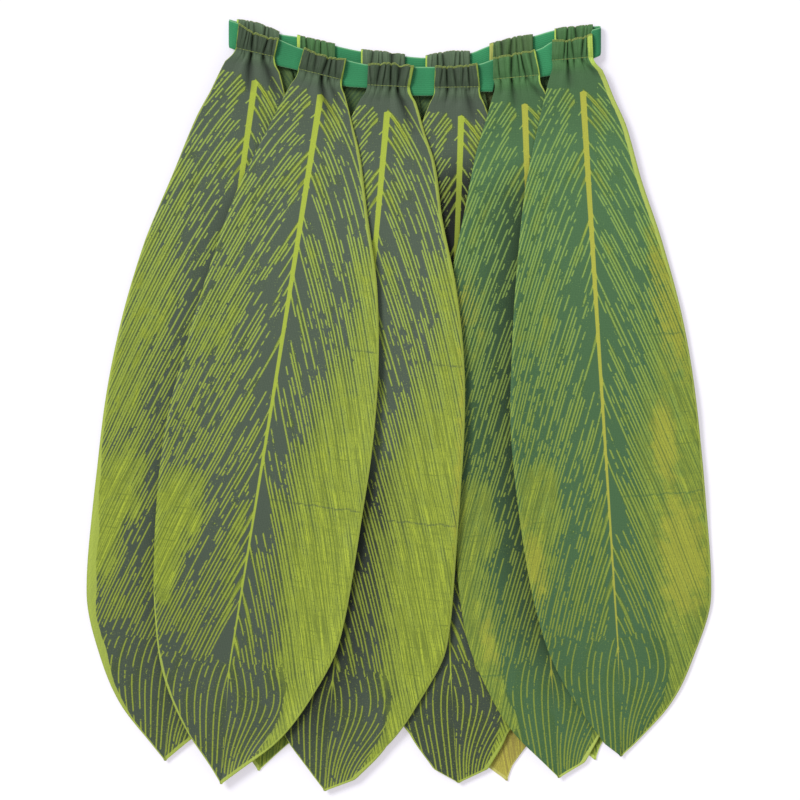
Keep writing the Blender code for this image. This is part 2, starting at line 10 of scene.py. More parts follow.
import bpy
import numpy as np
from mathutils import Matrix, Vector


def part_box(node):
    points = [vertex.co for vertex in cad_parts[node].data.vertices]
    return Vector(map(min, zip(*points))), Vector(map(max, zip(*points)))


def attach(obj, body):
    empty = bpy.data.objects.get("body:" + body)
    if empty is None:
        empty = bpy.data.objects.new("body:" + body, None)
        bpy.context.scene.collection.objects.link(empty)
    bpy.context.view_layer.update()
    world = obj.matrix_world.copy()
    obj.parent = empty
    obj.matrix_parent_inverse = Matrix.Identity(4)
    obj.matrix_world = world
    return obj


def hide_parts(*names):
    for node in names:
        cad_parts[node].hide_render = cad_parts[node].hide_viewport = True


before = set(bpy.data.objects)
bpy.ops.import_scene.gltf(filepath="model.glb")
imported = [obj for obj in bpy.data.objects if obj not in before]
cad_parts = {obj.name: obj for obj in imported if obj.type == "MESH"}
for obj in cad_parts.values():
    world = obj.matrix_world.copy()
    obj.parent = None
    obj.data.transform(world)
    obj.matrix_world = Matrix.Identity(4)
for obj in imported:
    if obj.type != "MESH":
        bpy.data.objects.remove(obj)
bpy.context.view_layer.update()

bl_info = {
    "name": "Ti leaf skirt",
    "version": (1, 0, 0),
    "blender": (4, 5, 0),
    "location": "View3D > Sidebar > Leaf skirt",
    "description": "Lays the cloth, elastic and stitching of a ti leaf skirt on its packed model",
    "category": "Object",
}

MM = 0.001

# Heights of the mid-surfaces at the waist
WALL = 1.1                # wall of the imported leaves
BACK_PANEL_Z = 0.6
BACK_ELASTIC_Z = 2.1
BACK_HEM_Z = 4.1
FRONT_HEM_Z = 6.45
FRONT_ELASTIC_Z = 8.3
FRONT_PANEL_Z = 10.6
FRONT_STITCH_Z = 10.3
PANEL_SWELL = 0.4         # how far gathered cloth swells

# The gathered casing
TOP_FOLD = 2.2            # how far the fold over the elastic bulges
CROWN_GAP = 2.8           # from the top of a casing down to where its fold starts
HEM_END = 0.7             # from the stitch line to the hem's raw edge
HEM_RISE = 2.3            # where the hem leaves the elastic to meet the panel
HEM_DROP_FRONT = 1.55     # the raw edge lies this far under the stitching
HEM_DROP_BACK = 1.85
BACK_HEM_HEIGHT = 19.0
BACK_CASING_RISE = 1.2
ELASTIC_LOW_INSET = 3.2
ELASTIC_HIGH_INSET = 2.6

# The exposed elastic
BACK_BAND_WIDTH = 22.4
BAND_RAMP = 2.0           # the elastic narrows over this length inside a casing
BAND_STATIONS = 420       # along each half
TURN_STATIONS = 13        # round each fold, with those that the halves give
EDGE_POWER = 8            # how square the edges of its section are
ACROSS = np.linspace(0, 1, 13)
FOLD_LEFT = -135.0
FOLD_RIGHT = 162.0
FOLD_RADIUS = 3.1

# A leaf's body
TIP_HALF_WIDTH = 0.8
NECK_TURN = 0.06          # share of its length in which it turns from the slope of its stitch line
CORNER_BLEND = 0.02       # share in which its sides come in from the casing's corners
BOW_SCALE = 6.75          # makes t * t * (1 - t) reach 1

# Shares of the greatest half-width along a leaf: a slim side, and one that is full low down
SECTIONS = (
    (0.00, 0.20, 0.20), (0.03, 0.29, 0.285), (0.06, 0.365, 0.36), (0.10, 0.46, 0.47),
    (0.18, 0.64, 0.60), (0.28, 0.78, 0.78), (0.40, 0.91, 0.92), (0.54, 1.00, 0.98),
    (0.68, 0.945, 0.985), (0.78, 0.845, 0.96), (0.86, 0.69, 0.77), (0.93, 0.41, 0.50),
    (0.98, 0.11, 0.15), (1.00, 0.00, 0.00),
)
# Where along a leaf its sides are wider, blunter or flared: start, peak and end
HIGH_BUMP = (0.03, 0.28, 0.60)
BLUNT_BUMP = (0.93, 0.98, 1.00)
FLARE_BUMP = (0.0, 0.016, 0.12)

# Corners of each casing: its top fold and its stitch line, left and right, and how far the middle
# of its top fold bows up
Casing = namedtuple("Casing", "node tl_x tl_y tr_x tr_y bl_x bl_y br_x br_y bow")
FRONT_CASINGS = (
    Casing("leaf_front_1", -127.5, 304.5, -95.2, 292.5, -129.6, 285.6, -98.4, 278.4, -2.4),
    Casing("leaf_front_2", -75.2, 285.2, -41.3, 276.0, -79.8, 268.8, -44.4, 260.0, -1.6),
    Casing("leaf_front_3", -24.0, 272.0, 12.8, 270.4, -24.6, 256.0, 9.6, 254.4, 2.0),
    Casing("leaf_front_4", 29.6, 270.4, 63.6, 272.4, 28.8, 254.0, 65.6, 254.4, -0.8),
    Casing("leaf_front_5", 76.0, 276.8, 109.6, 283.6, 76.0, 260.4, 113.6, 264.0, 0.3),
    Casing("leaf_front_6", 123.2, 291.2, 155.2, 296.4, 122.8, 275.6, 156.0, 278.4, -1.8),
)
BackCasing = namedtuple("BackCasing", "node left right bow")
BACK_CASINGS = (
    BackCasing("leaf_back_1", -129.0, -95.0, 2.4),
    BackCasing("leaf_back_2", -80.8, -50.4, 0.2),
    BackCasing("leaf_back_3", -29.6, 5.6, 0.6),
    BackCasing("leaf_back_4", 22.0, 57.6, 2.0),
    BackCasing("leaf_back_5", 73.2, 108.0, 1.4),
    BackCasing("leaf_back_6", 125.3, 156.0, 0.3),
)
# The elastic where it shows: x with its low and high edge in front, and with its high edge behind
FRONT_BAND = (
    (-135.0, 285.6, 308.0), (-96.0, 271.4, 292.8), (-81.0, 267.8, 286.4), (-44.0, 255.2, 276.6),
    (-24.0, 253.2, 272.2), (12.0, 247.2, 270.4), (29.0, 247.2, 270.4), (66.0, 250.4, 273.0),
    (75.0, 250.4, 276.0), (115.0, 262.3, 285.6), (122.0, 263.3, 290.0), (162.0, 279.4, 302.0),
)
BACK_BAND = (
    (-135.0, 308.8), (-93.6, 296.8), (-80.8, 294.8), (-50.4, 287.6), (-29.6, 283.2), (5.6, 279.2),
    (22.0, 278.0), (57.6, 281.6), (73.2, 287.5), (108.0, 295.2), (125.3, 300.0), (162.0, 303.6),
)

# Each leaf: its tip and its dye, how far the printed midrib lies to the right of the middle near
# the top, halfway and low down, and how far its middle bows sideways. Then how light the ground is
# low down (less is darker), how strong a painted shadow is beside a leaf that covers it (less than
# 0: on its left), between which shares of its length, how far below the stitching the midrib
#    starts,
# and how wide its lime edge is at the neck and low on its left side
Leaf = namedtuple("Leaf", "node tip_x tip_y dye ribs bow depth dim dim_from dim_to cap strip edge",
                  defaults=(0.0, 1.0, 0.4, 0.10, 1.10, 20.0, 0.2, 0.0))
LEAVES = (
    Leaf("leaf_back_5", 87.2, -300.8, "amber", (2.0, 0.0, 0.0), bow=-20.0, strip=1.5),
    Leaf("leaf_back_2", -111.6, -292.8, "green", (1.0, -1.0, -3.0), strip=1.4),
    Leaf("leaf_back_4", 43.2, -290.4, "slate", (2.0, 1.0, -2.0)),
    Leaf("leaf_back_6", 158.0, -284.0, "green", (3.0, 0.0, 0.0), bow=-16.0),
    Leaf("leaf_back_1", -158.4, -266.4, "slate", (1.0, 0.0, -3.0)),
    Leaf("leaf_back_3", -46.4, -292.0, "slate", (2.0, -1.0, -2.0)),
    Leaf("leaf_front_4", 48.5, -302.4, "slate", (3.2, 0.0, 0.0), bow=-8.0, depth=0.78, dim=1.6,
         dim_from=0.12, dim_to=0.50, cap=23.4, strip=0.1, edge=2.0),
    Leaf("leaf_front_5", 128.8, -298.4, "green", (5.0, 0.0, -1.0), dim=0.72, dim_from=0.14,
         dim_to=0.84, cap=22.4, strip=0.0),
    Leaf("leaf_front_1", -186.4, -284.8, "slate", (2.4, 0.0, -4.0), dim=0.2, dim_from=0.20,
         dim_to=1.00, cap=22.0, edge=7.5),
    Leaf("leaf_front_3", -58.7, -308.8, "slate", (0.8, 1.0, -1.6), dim=-0.9, dim_from=0.55,
         dim_to=0.95, cap=20.3, strip=1.3),
    Leaf("leaf_front_6", 178.7, -281.3, "green", (6.5, 5.0, 3.5), cap=26.4, strip=3.0),
    Leaf("leaf_front_2", -141.6, -303.2, "slate", (2.4, -1.0, -6.4), cap=16.3, edge=2.0),
)
# The left and right side of each leaf: greatest half-width, how full it is low down, how much wider
# high up, how blunt its tip is, how far its neck flares, and how far its free edge curls up
Side = namedtuple("Side", "width low high blunt flare curl", defaults=(0.0, 0.0, 0.0, 0.0))
SIDES = {
    "leaf_front_1": (Side(85.0, 0.78, 0.035, flare=1.2, curl=0.4), Side(81.0, 0.5)),
    "leaf_front_2": (Side(84.0, 0.0, curl=0.8), Side(83.4, 0.8, 0.05, curl=4.2)),
    "leaf_front_3": (Side(81.6, 0.2, blunt=0.8), Side(88.6, 1.2, blunt=9.6, curl=1.8)),
    "leaf_front_4": (Side(81.6, 0.3, blunt=9.0), Side(81.6, 1.2, blunt=12.0)),
    "leaf_front_5": (Side(73.6, 0.7, 0.08, curl=0.6), Side(81.6, 0.7, blunt=10.5)),
    "leaf_front_6": (Side(70.4, 0.1, blunt=4.7, curl=1.2), Side(83.0, 1.12, -0.03, 1.0, 2.2, -2.4)),
    "leaf_back_1": (Side(80.0, 0.5), Side(80.0, 0.5, flare=8.5)),
    "leaf_back_2": (Side(80.0, 0.3, flare=8.5), Side(80.0, 0.5, flare=8.5)),
    "leaf_back_3": (Side(80.0, 0.3, flare=8.5), Side(80.0, 0.7, flare=8.5)),
    "leaf_back_4": (Side(80.0, 0.3, flare=8.5), Side(80.0, 0.7, flare=8.5)),
    "leaf_back_5": (Side(78.0, 0.6, 0.0, 3.0, 8.5), Side(78.0, 0.0, 0.0, -2.0, 8.5)),
    "leaf_back_6": (Side(78.0, 0.6, 0.0, 3.0, 8.5), Side(78.0, 0.0, 0.0, -2.0, -3.5)),
}

# Valleys of the gathers across each casing: place, depth and half-width (1 is half a casing)
Gather = namedtuple("Gather", "place depth half")
GATHERS = {
    "leaf_front_1": ((-0.63, 0.7, 0.05), (-0.45, 0.6, 0.05), (-0.20, 1.9, 0.07),
                     (0.08, 0.4, 0.06), (0.40, 1.7, 0.07), (0.80, 0.8, 0.06)),
    "leaf_front_2": ((-0.62, 0.8, 0.05), (-0.30, 0.9, 0.06), (0.08, 2.0, 0.08),
                     (0.38, 1.3, 0.06), (0.68, 0.8, 0.05)),
    "leaf_front_3": ((-0.80, 0.5, 0.05), (-0.55, 1.4, 0.06), (-0.27, 1.0, 0.05),
                     (0.10, 1.8, 0.07), (0.42, 1.9, 0.06), (0.78, 0.5, 0.05)),
    "leaf_front_4": ((-0.74, 0.8, 0.05), (-0.42, 1.7, 0.07), (-0.03, 0.9, 0.06),
                     (0.23, 0.9, 0.05), (0.55, 1.3, 0.06)),
    "leaf_front_5": ((-0.70, 0.9, 0.05), (-0.22, 1.6, 0.06), (0.14, 1.0, 0.05),
                     (0.40, 1.6, 0.06), (0.72, 0.8, 0.05)),
    "leaf_front_6": ((-0.42, 1.2, 0.06), (-0.24, 1.7, 0.05), (0.08, 1.1, 0.06),
                     (0.45, 1.4, 0.05), (0.68, 0.9, 0.05)),
}
# Creases that run down a neck from the stitching: place across at the top and at the end, reach
# down the leaf in mm, depth, and half-width across
Crease = namedtuple("Crease", "top end reach depth half")
CREASES = {
    "leaf_front_1": ((-0.19, -0.04, 30.0, 2.6, 0.09), (0.42, 0.80, 34.0, 2.2, 0.12),
                     (-0.55, -0.38, 9.0, 1.0, 0.07)),
    "leaf_front_2": ((0.06, 0.42, 32.0, 2.6, 0.10), (0.42, 0.80, 24.0, 1.6, 0.10),
                     (-0.60, -0.50, 8.0, 0.9, 0.07)),
    "leaf_front_3": ((0.42, 0.72, 34.0, 2.4, 0.10), (-0.35, -0.32, 12.0, 1.2, 0.08),
                     (0.05, 0.06, 10.0, 1.0, 0.08)),
    "leaf_front_4": ((-0.42, -0.38, 12.0, 1.4, 0.09), (0.42, 0.52, 26.0, 1.8, 0.11),
                     (0.02, 0.05, 14.0, 0.9, 0.08)),
    "leaf_front_5": ((-0.22, -0.10, 24.0, 1.9, 0.09), (0.45, 0.85, 18.0, 1.8, 0.10),
                     (-0.70, -0.62, 12.0, 1.1, 0.07)),
    "leaf_front_6": ((-0.24, -0.14, 22.0, 2.2, 0.08), (0.46, 0.82, 16.0, 1.7, 0.10),
                     (0.08, 0.10, 9.0, 0.9, 0.08)),
}

# Where the print of a leaf is dense: side (0 is both), centre and reach along the leaf, centre and
# spread across it, and the ink there (0 bare, 0.5 fine lines, 1 solid)
Patch = namedtuple("Patch", "hand along reach across spread ink")
OPEN_INK = 0.37
PATCHES = (
    (+1, 0.12, 0.13, 0.15, 0.50, 0.52), (+1, 0.26, 0.12, 0.70, 0.55, 0.47),
    (+1, 0.32, 0.09, 1.00, 0.28, 0.78), (+1, 0.49, 0.12, 1.00, 0.56, 0.88),
    (+1, 0.62, 0.12, 0.75, 0.46, 0.94), (+1, 0.75, 0.11, 0.85, 0.42, 1.02),
    (+1, 0.52, 0.20, 0.02, 0.13, 0.30), (+1, 0.79, 0.07, 0.02, 0.22, 0.60),
    (-1, 0.10, 0.09, 0.15, 0.40, 0.58), (-1, 0.065, 0.045, 0.0, 0.45, 0.57),
    (-1, 0.045, 0.025, 0.95, 0.30, 0.52), (-1, 0.20, 0.06, 0.85, 0.30, 0.60),
    (-1, 0.36, 0.11, 0.80, 0.32, 0.60), (-1, 0.49, 0.08, 0.68, 0.42, 0.49),
    (-1, 0.625, 0.05, 0.78, 0.24, 0.92), (-1, 0.70, 0.06, 0.88, 0.20, 0.94),
    (-1, 0.765, 0.055, 0.56, 0.24, 0.52), (-1, 0.65, 0.13, 0.08, 0.16, 0.60),
    (-1, 0.46, 0.13, 0.10, 0.12, 0.33), (0, 0.93, 0.07, 0.30, 0.80, 0.45),
)
OWN_PATCHES = {"leaf_front_1": ((-1, 0.42, 0.15, 0.95, 0.34, 0.74),)}    # on one leaf only
# Where the ink is a warmer yellow, in the same way, with how much warmer last
WARMS = {
    "leaf_front_3": ((+1, 0.50, 0.22, 1.02, 0.10, 0.9),),
    "leaf_front_5": ((-1, 0.32, 0.07, 0.80, 0.30, 0.6), (-1, 0.80, 0.08, 0.75, 0.20, 0.5)),
    "leaf_front_6": ((+1, 0.36, 0.12, 0.90, 0.30, 0.8), (+1, 0.56, 0.07, 0.62, 0.16, 0.9),
                     (+1, 0.72, 0.11, 0.72, 0.30, 0.9), (-1, 0.72, 0.08, 0.90, 0.20, 0.7)),
}
# Dotted dark lines straight across the print, where the screen was set down again: how far below
# the top of the midrib, and on which side of it
CROSSINGS = ((198.0, +1), (326.0, +1), (454.0, -1))
# Leaves whose left edge shows no lime, and from where down to where
PLAIN_LEFT = {"leaf_front_2": (0.02, 0.76), "leaf_front_3": (-1.0, 0.76),
              "leaf_front_5": (-1.0, 0.90), "leaf_front_6": (-1.0, 2.0),
              **{"leaf_back_%d" % n: (-1.0, 0.76) for n in range(1, 7)}}
PLAIN_TIP = "leaf_front_6"        # the leaf with no lime on the right of its tip
LIME_LEFT = "leaf_front_5"        # the leaf with a band of solid print low on its left too
# The side veins leave the midrib at a lean that grows down the leaf: how far down a vein goes for
# each step across
LEANS = ((0.0, 1.12), (0.05, 1.28), (0.12, 1.48), (0.20, 1.70), (0.30, 1.97), (0.45, 2.32),
         (0.60, 2.65), (0.75, 3.00), (1.0, 3.30))
VEIN_GAP = 4.7            # mm between veins at the top of the midrib, and how much that grows a mm
VEIN_GROWTH = 0.0125
FIRST_VEIN = 1.5          # the phase of the veins at the top of the midrib
# How far a vein runs down along the midrib before it leaves it, by share of the leaf's length (less
# than 0: it arches up instead), and how far from the midrib that is over
HOOKS = ((0.10, -3.0), (0.25, 4.0), (0.40, 8.0), (0.55, 8.0), (0.78, -8.0))
HOOK_REACH = 6.0
FAN_GAP = 5.8             # mm between the veins that run to the tip
FAN_START = 0.83          # where the midrib forks into them
FAN_BOW = 9.0             # how far they bow out below the fork
FAN_BOW_REACH = 22.0      # over this length
FAN_NARROWING = (0.30, 0.62)    # how much they close in towards the tip, left and right
LEAST_Q = -170.0          # keeps the veins' spacing above 0 high on the sides
BAND_INK = 0.95           # ink of the solid bands beside the tip
BACK_PRINT_RISE = 40.0    # the back leaves are printed this much higher up
MARGINS = ((0.04, 0.0), (0.10, 1.6), (0.25, 1.6), (0.42, 0.6))    # width of the margin, by share
# Shares of the length at which a leaf's ribs hold: the first for two of them, and 0 at the tip
RIBS_AT = (0.0, 0.05, 0.40, 0.84, 1.0)
# How wide the lime edge low on the left is, as a share of its greatest width, along the leaf
EDGE_WIDTHS = ((0.03, 0.00), (0.08, 0.14), (0.12, 0.06), (0.24, 0.06), (0.58, 0.25), (0.71, 0.90),
               (0.88, 0.85), (0.95, 0.20), (0.99, 0.05))
# Half-width of the midrib along the leaf
RIBS = ((0.0, 2.6), (0.10, 2.3), (0.30, 1.7), (0.50, 1.2), (0.70, 0.8), (0.84, 0.5),
        (0.90, -0.1), (1.0, -1.0))


def linear(code):
    """Turns an sRGB colour in hex into linear red, green and blue."""
    c = np.array([int(code[i:i + 2], 16) for i in (1, 3, 5)]) / 255
    return tuple(float(v) for v in np.where(c <= 0.04045, c / 12.92, ((c + 0.055) / 1.055) ** 2.4))


def colour_property(name, description, code):
    """A colour that a user can change, with its default in hex."""
    return bpy.props.FloatVectorProperty(name=name, description=description, default=linear(code),
                                         min=0.0, max=1.0, size=3, subtype="COLOR")


def length_property(name, description, value):
    """A length that a user can change, in metres, with its default in mm."""
    return bpy.props.FloatProperty(name=name, description=description, default=value * MM,
                                   min=0.0, precision=5, unit="LENGTH", subtype="DISTANCE")


class LeafSkirtSizes(bpy.types.PropertyGroup):
    """Sizes of the cloth, elastic and thread."""
    cloth_thickness: length_property("Cloth thickness", "Thickness of a leaf's cloth", 0.4)
    gather_depth: length_property("Gather depth", "How far the deepest gathers go in", 1.5)
    sway: length_property("Sway", "Height of the slow waves in cloth that lies on a table", 0.9)
    elastic_thickness: length_property("Elastic thickness", "Thickness of the waist elastic", 1.0)
    thread_radius: length_property("Thread radius", "Half the thickness of the sewing thread", 0.25)
    stitch_length: length_property("Stitch length", "Length of one stitch", 2.6)
    vein_width: length_property("Vein width", "Width of a printed vein", 1.15)
    camera_distance: length_property("Camera distance", "Height of the camera", 5000.0)


DYE_PARTS = (
    ("", "ground", "Ground where there is no print"),
    ("_stained", "stained ground", "Ground between open veins"),
    ("_gap", "gaps in solid print", "Between veins in solid print"),
    ("_fine", "fine veins", "Ink of single veins"),
    ("_ink", "solid print", "Ink of solid print"),
    ("_rib", "midrib", "Ink of the midrib"),
    ("_edge", "edge", "Ink of the margin and the hems"),
)
DYES = {
    "slate": ("#4e5b4b", "#4a5939", "#6c7c2b", "#95ab4c", "#aab93b", "#a5b640", "#a2b24a"),
    "green": ("#4a6d46", "#48693a", "#617632", "#82a252", "#9fae3c", "#adb044", "#b6c65e"),
    "amber": ("#556e48", "#8f8240", "#8f8440", "#c0b85c", "#b4ae44", "#b0a850", "#b8b464"),
}


class LeafSkirtColours(bpy.types.PropertyGroup):
    """Colours of the dyed cloth, its print, the elastic, the thread and the stage."""
    __annotations__ = {
        dye + part: colour_property("%s leaves, %s" % (dye.capitalize(), label), use, code)
        for dye, codes in DYES.items() for (part, label, use), code in zip(DYE_PARTS, codes)}
    warm_ink: colour_property("Warm patches, ink", "Ink where the print is yellower", "#aaaa3c")
    warm_gap: colour_property("Warm patches, gaps", "Between veins where it is yellower", "#87893a")
    reverse: colour_property("Reverse", "The dyed cloth's unprinted side", "#61865a")
    elastic: colour_property("Elastic", "Knitted waist elastic", "#318656")
    elastic_rim: colour_property("Elastic, selvedge", "Paler edges of the elastic", "#86c08c")
    thread: colour_property("Thread", "Sewing thread", "#8a9a4c")
    floor: colour_property("Floor", "Pale floor", "#c6c8ca")
    floor_glow: colour_property("Floor, glow", "Light from below the floor", "#f6ecfb")


def curve(rows, column):
    """A smooth curve through one column of a table by its first column: a cubic on each stretch,
    with slopes limited so that it never overshoots (Fritsch-Carlson)."""
    x, y = (np.array([row[k] for row in rows]) for k in (0, column))
    step = np.diff(x)
    rise = np.diff(y) / step
    slope = np.concatenate([[rise[0]], (rise[:-1] + rise[1:]) / 2, [rise[-1]]])
    turns = rise[:-1] * rise[1:] <= 0
    slope[1:-1][turns] = 0.0
    limit = 3 * np.minimum(np.abs(np.append(rise, rise[-1])), np.abs(np.insert(rise, 0, rise[0])))
    slope = np.clip(slope, -limit, limit)

    def at(value):
        value = np.clip(value, x[0], x[-1])
        i = np.clip(np.searchsorted(x, value, side="right") - 1, 0, len(step) - 1)
        s = (value - x[i]) / step[i]
        return (y[i] * (1 + 2 * s) * (1 - s) ** 2 + y[i + 1] * s ** 2 * (3 - 2 * s)
                + step[i] * (slope[i] * s * (1 - s) ** 2 + slope[i + 1] * s ** 2 * (s - 1)))
    return at


def bump(value, start, peak, end):
    """0 outside start to end, rising in a straight line to 1 at peak."""
    return np.interp(value, (start, peak, end), (0.0, 1.0, 0.0))


def hump(value, centre, spread, power=2):
    """1 at its centre, falling away on both sides: e to less the distance in spreads to a power."""
    return np.exp(-np.abs((value - centre) / spread) ** power)


def smooth(value, low, high):
    """0 below low, 1 above high, and an S-shaped cubic in between. With low above high it falls
    instead: 1 below high and 0 above low."""
    s = np.clip((value - low) / (high - low), 0, 1)
    return s * s * (3 - 2 * s)


slim, full = curve(SECTIONS, 1), curve(SECTIONS, 2)
front_low, front_high = curve(FRONT_BAND, 1), curve(FRONT_BAND, 2)
back_high, lean_at, rib_half = curve(BACK_BAND, 1), curve(LEANS, 1), curve(RIBS, 1)


def frame_shift():
    """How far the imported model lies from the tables, in mm: the elastic's box tells."""
    low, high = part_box("elastic_front")
    x = (low.x + high.x) / 2 / MM - (FOLD_LEFT + FOLD_RIGHT) / 2
    y = low.y / MM - min(row[1] for row in FRONT_BAND)
    return np.array([x, y, 0.0])


SHIFT = frame_shift()


def half_width(side, along):
    """Half-width of one side of a leaf at a share of its length."""
    share = slim(along) * (1 - side.low) + full(along) * side.low
    wide = side.width * share * (1 + side.high * bump(along, *HIGH_BUMP))
    wide = wide + side.blunt * bump(along, *BLUNT_BUMP) + side.flare * bump(along, *FLARE_BUMP)
    return np.maximum(wide, TIP_HALF_WIDTH)


def casing_of(node):
    """The four corners of a casing: top left, top right, stitch left, stitch right."""
    for row in FRONT_CASINGS:
        if row.node == node:
            return np.array(row[1:9]).reshape(4, 2)
    row = next(r for r in BACK_CASINGS if r.node == node)
    top = np.array([(x, float(back_high(x)) + BACK_CASING_RISE) for x in (row.left, row.right)])
    return np.vstack([top, top - (0.0, BACK_HEM_HEIGHT)])


def gathers_of(node):
    """The valleys of a casing's gathers. The back casings take those of the front, turned round."""
    if node in GATHERS:
        return [Gather(*row) for row in GATHERS[node]]
    twin = "leaf_front_%d" % (7 - int(node[-1]))
    return [Gather(-place, depth, half) for place, depth, half in GATHERS[twin]]


RIPPLES = ((0.08, 13.0, 1.7), (0.04, 37.0, 2.9))    # height, waves across and how the leaves differ
VALLEY_DEPTH, VALLEY_POWER, VALLEY_FLOOR = 1.25, 1.15, -1.1


def gather_wave(node, u):
    """Height of the gathers across a casing: round humps with small ripples, less the valleys,
    which are sharp at the bottom."""
    seed = int(node[-1]) + (3 if "back" in node else 0)
    wave = 1.0 + sum(high * np.sin(rate * u + turn * seed) for high, rate, turn in RIPPLES)
    for g in gathers_of(node):
        wave = wave - VALLEY_DEPTH * g.depth * hump(u, g.place, g.half, VALLEY_POWER)
    return np.maximum(wave, VALLEY_FLOOR)


SLANT, SLANT_RATE, SLANT_TURN = 0.13, 6.0, 2.3    # its height, waves across, how leaves differ
CROWDING = 1.8            # how much closer together the columns are at a valley


def slanted(node, u, rise):
    """Where across the stitch line the gather lies that passes a place of the casing: gathers run
    at a slant that changes slowly across, one sine wave. The rise is 0 at the stitching and 1 at
    the top."""
    return u + SLANT * np.sin(SLANT_RATE * u + SLANT_TURN * int(node[-1])) * rise


def columns_of(node, count):
    """Places across a leaf, closer together at the valleys of its gathers."""
    fine = np.linspace(-1, 1, 801)
    crowd = 1 + sum(CROWDING * hump(fine, g.place, 2 * g.half) for g in gathers_of(node))
    total = np.concatenate([[0], np.cumsum((crowd[1:] + crowd[:-1]) / 2)])
    return np.interp(np.linspace(0, total[-1], count), total, fine)


# Rows of a casing's section, and the share of the gathers on its hem, its panel and its stitching
RISE_ROWS, HEM_ROWS, FOLD_ROWS, PANEL_ROWS = 3, 8, 11, 14
FRONT_SHARES, BACK_SHARES = (0.3, 1.0, 0.45), (0.7, 0.08, 0.0)


def section(front, height):
    """A casing's section from the hem's raw edge over the elastic and down to the stitching: rows
    of how far up from the stitching, height off the table and share of the gathers, by column."""
    hem, panel = (FRONT_HEM_Z, FRONT_PANEL_Z + PANEL_SWELL) if front else (BACK_HEM_Z, BACK_PANEL_Z)
    stitch = FRONT_STITCH_Z if front else BACK_PANEL_Z
    end = stitch - HEM_DROP_FRONT if front else stitch + HEM_DROP_BACK
    hem_share, panel_share, end_share = FRONT_SHARES if front else BACK_SHARES
    crown = height - CROWN_GAP
    turn = np.linspace(-pi / 2, pi / 2, FOLD_ROWS)[:, None]
    rise = np.linspace(0, 1, RISE_ROWS + 1)[:-1, None]
    along = np.linspace(0, 1, HEM_ROWS + 1)[:-1, None]
    fall = np.linspace(0, 1, PANEL_ROWS + 1)[1:, None]
    flat = np.ones_like(height)
    up = np.concatenate([
        (HEM_END + (HEM_RISE - HEM_END) * rise) * flat,
        HEM_RISE + (crown - HEM_RISE) * along,
        crown + TOP_FOLD * np.cos(turn),
        crown - crown * fall])
    z = np.concatenate([
        (end + (hem - end) * smooth(rise, 0, 1)) * flat,
        np.full((HEM_ROWS, 1), hem) * flat,
        ((hem + panel) / 2 + (panel - hem) / 2 * np.sin(turn)) * flat,
        (panel + (stitch - panel) * smooth(fall, 0.6, 1)) * flat])
    share = np.concatenate([
        np.linspace(0.5 * hem_share, hem_share, RISE_ROWS)[:, None],
        np.full((HEM_ROWS, 1), hem_share),
        (hem_share + panel_share) / 2 + (panel_share - hem_share) / 2 * np.sin(turn),
        panel_share + (end_share - panel_share) * smooth(fall, 0.55, 1)])
    return up, z, share


def casing_grid(node, u, depth):
    """Mid-surface of a casing: the section is carried across from corner to corner, and the gathers
    move it in and out square to itself."""
    front = "front" in node
    tl, tr, bl, br = casing_of(node)
    share = ((u + 1) / 2)[:, None]
    bow = next(c.bow for c in FRONT_CASINGS + BACK_CASINGS if c.node == node)
    low = bl + (br - bl) * share
    up = tl + (tr - tl) * share - low + np.column_stack([0 * u, bow * (1 - u * u)])
    height = np.linalg.norm(up, axis=1)
    up = up / height[:, None]
    a, z, gather = section(front, height)
    lean_a, lean_z = np.gradient(a, axis=0), np.gradient(z, axis=0)
    size = np.hypot(lean_a, lean_z)
    hand = 1.0 if front else -1.0
    move = gather * gather_wave(node, slanted(node, u[None], a / a.max())) * depth
    a_moved, z_moved = a + hand * lean_z / size * move, z - hand * lean_a / size * move
    xy = low[None] + up[None] * a_moved[:, :, None]
    return np.dstack([xy, z_moved]), a


def body_plan(leaf, t, u):
    """Plan of a leaf's body: rows go from the stitching to the tip, and each row is two straight
    stretches from the bowed middle line out to the sides. Also gives the half-widths."""
    bl, br = casing_of(leaf.node)[2:]
    base, tip = (bl + br) / 2, np.array([leaf.tip_x, leaf.tip_y])
    axis = (tip - base) / np.linalg.norm(tip - base)
    right = np.array([-axis[1], axis[0]])
    t = t[:, None]
    centre = base + (tip - base) * t + right * leaf.bow * BOW_SCALE * t * t * (1 - t)
    turn, corner = np.maximum(0, 1 - t / NECK_TURN), np.maximum(0, 1 - t / CORNER_BLEND)
    line = right * (1 - turn) + (br - bl) / np.linalg.norm(br - bl) * turn
    wide = {hand: half_width(side, t) for hand, side in zip((-1, 1), SIDES[leaf.node])}
    ends = {}
    for hand, foot in ((-1, bl), (1, br)):
        end = centre + hand * line * wide[hand]
        ends[hand] = end * (1 - corner) + (foot + (tip - base) * t) * corner
    v = u[None, :, None]
    xy = (ends[-1][:, None] * np.maximum(0, -v) + ends[1][:, None] * np.maximum(0, v)
          + centre[:, None] * (1 - np.abs(v)))
    return xy, wide, float(np.linalg.norm(tip - base))


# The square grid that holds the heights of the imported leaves
CELL = 2.0
GRID_LOW = np.array([-270.0, -330.0])
GRID_COUNT = (270, 330)
FILL_STEPS, SMOOTH_STEPS = 16, 5
LEAST_SLOPE = 0.3         # an upward face has at least this share of its normal upright


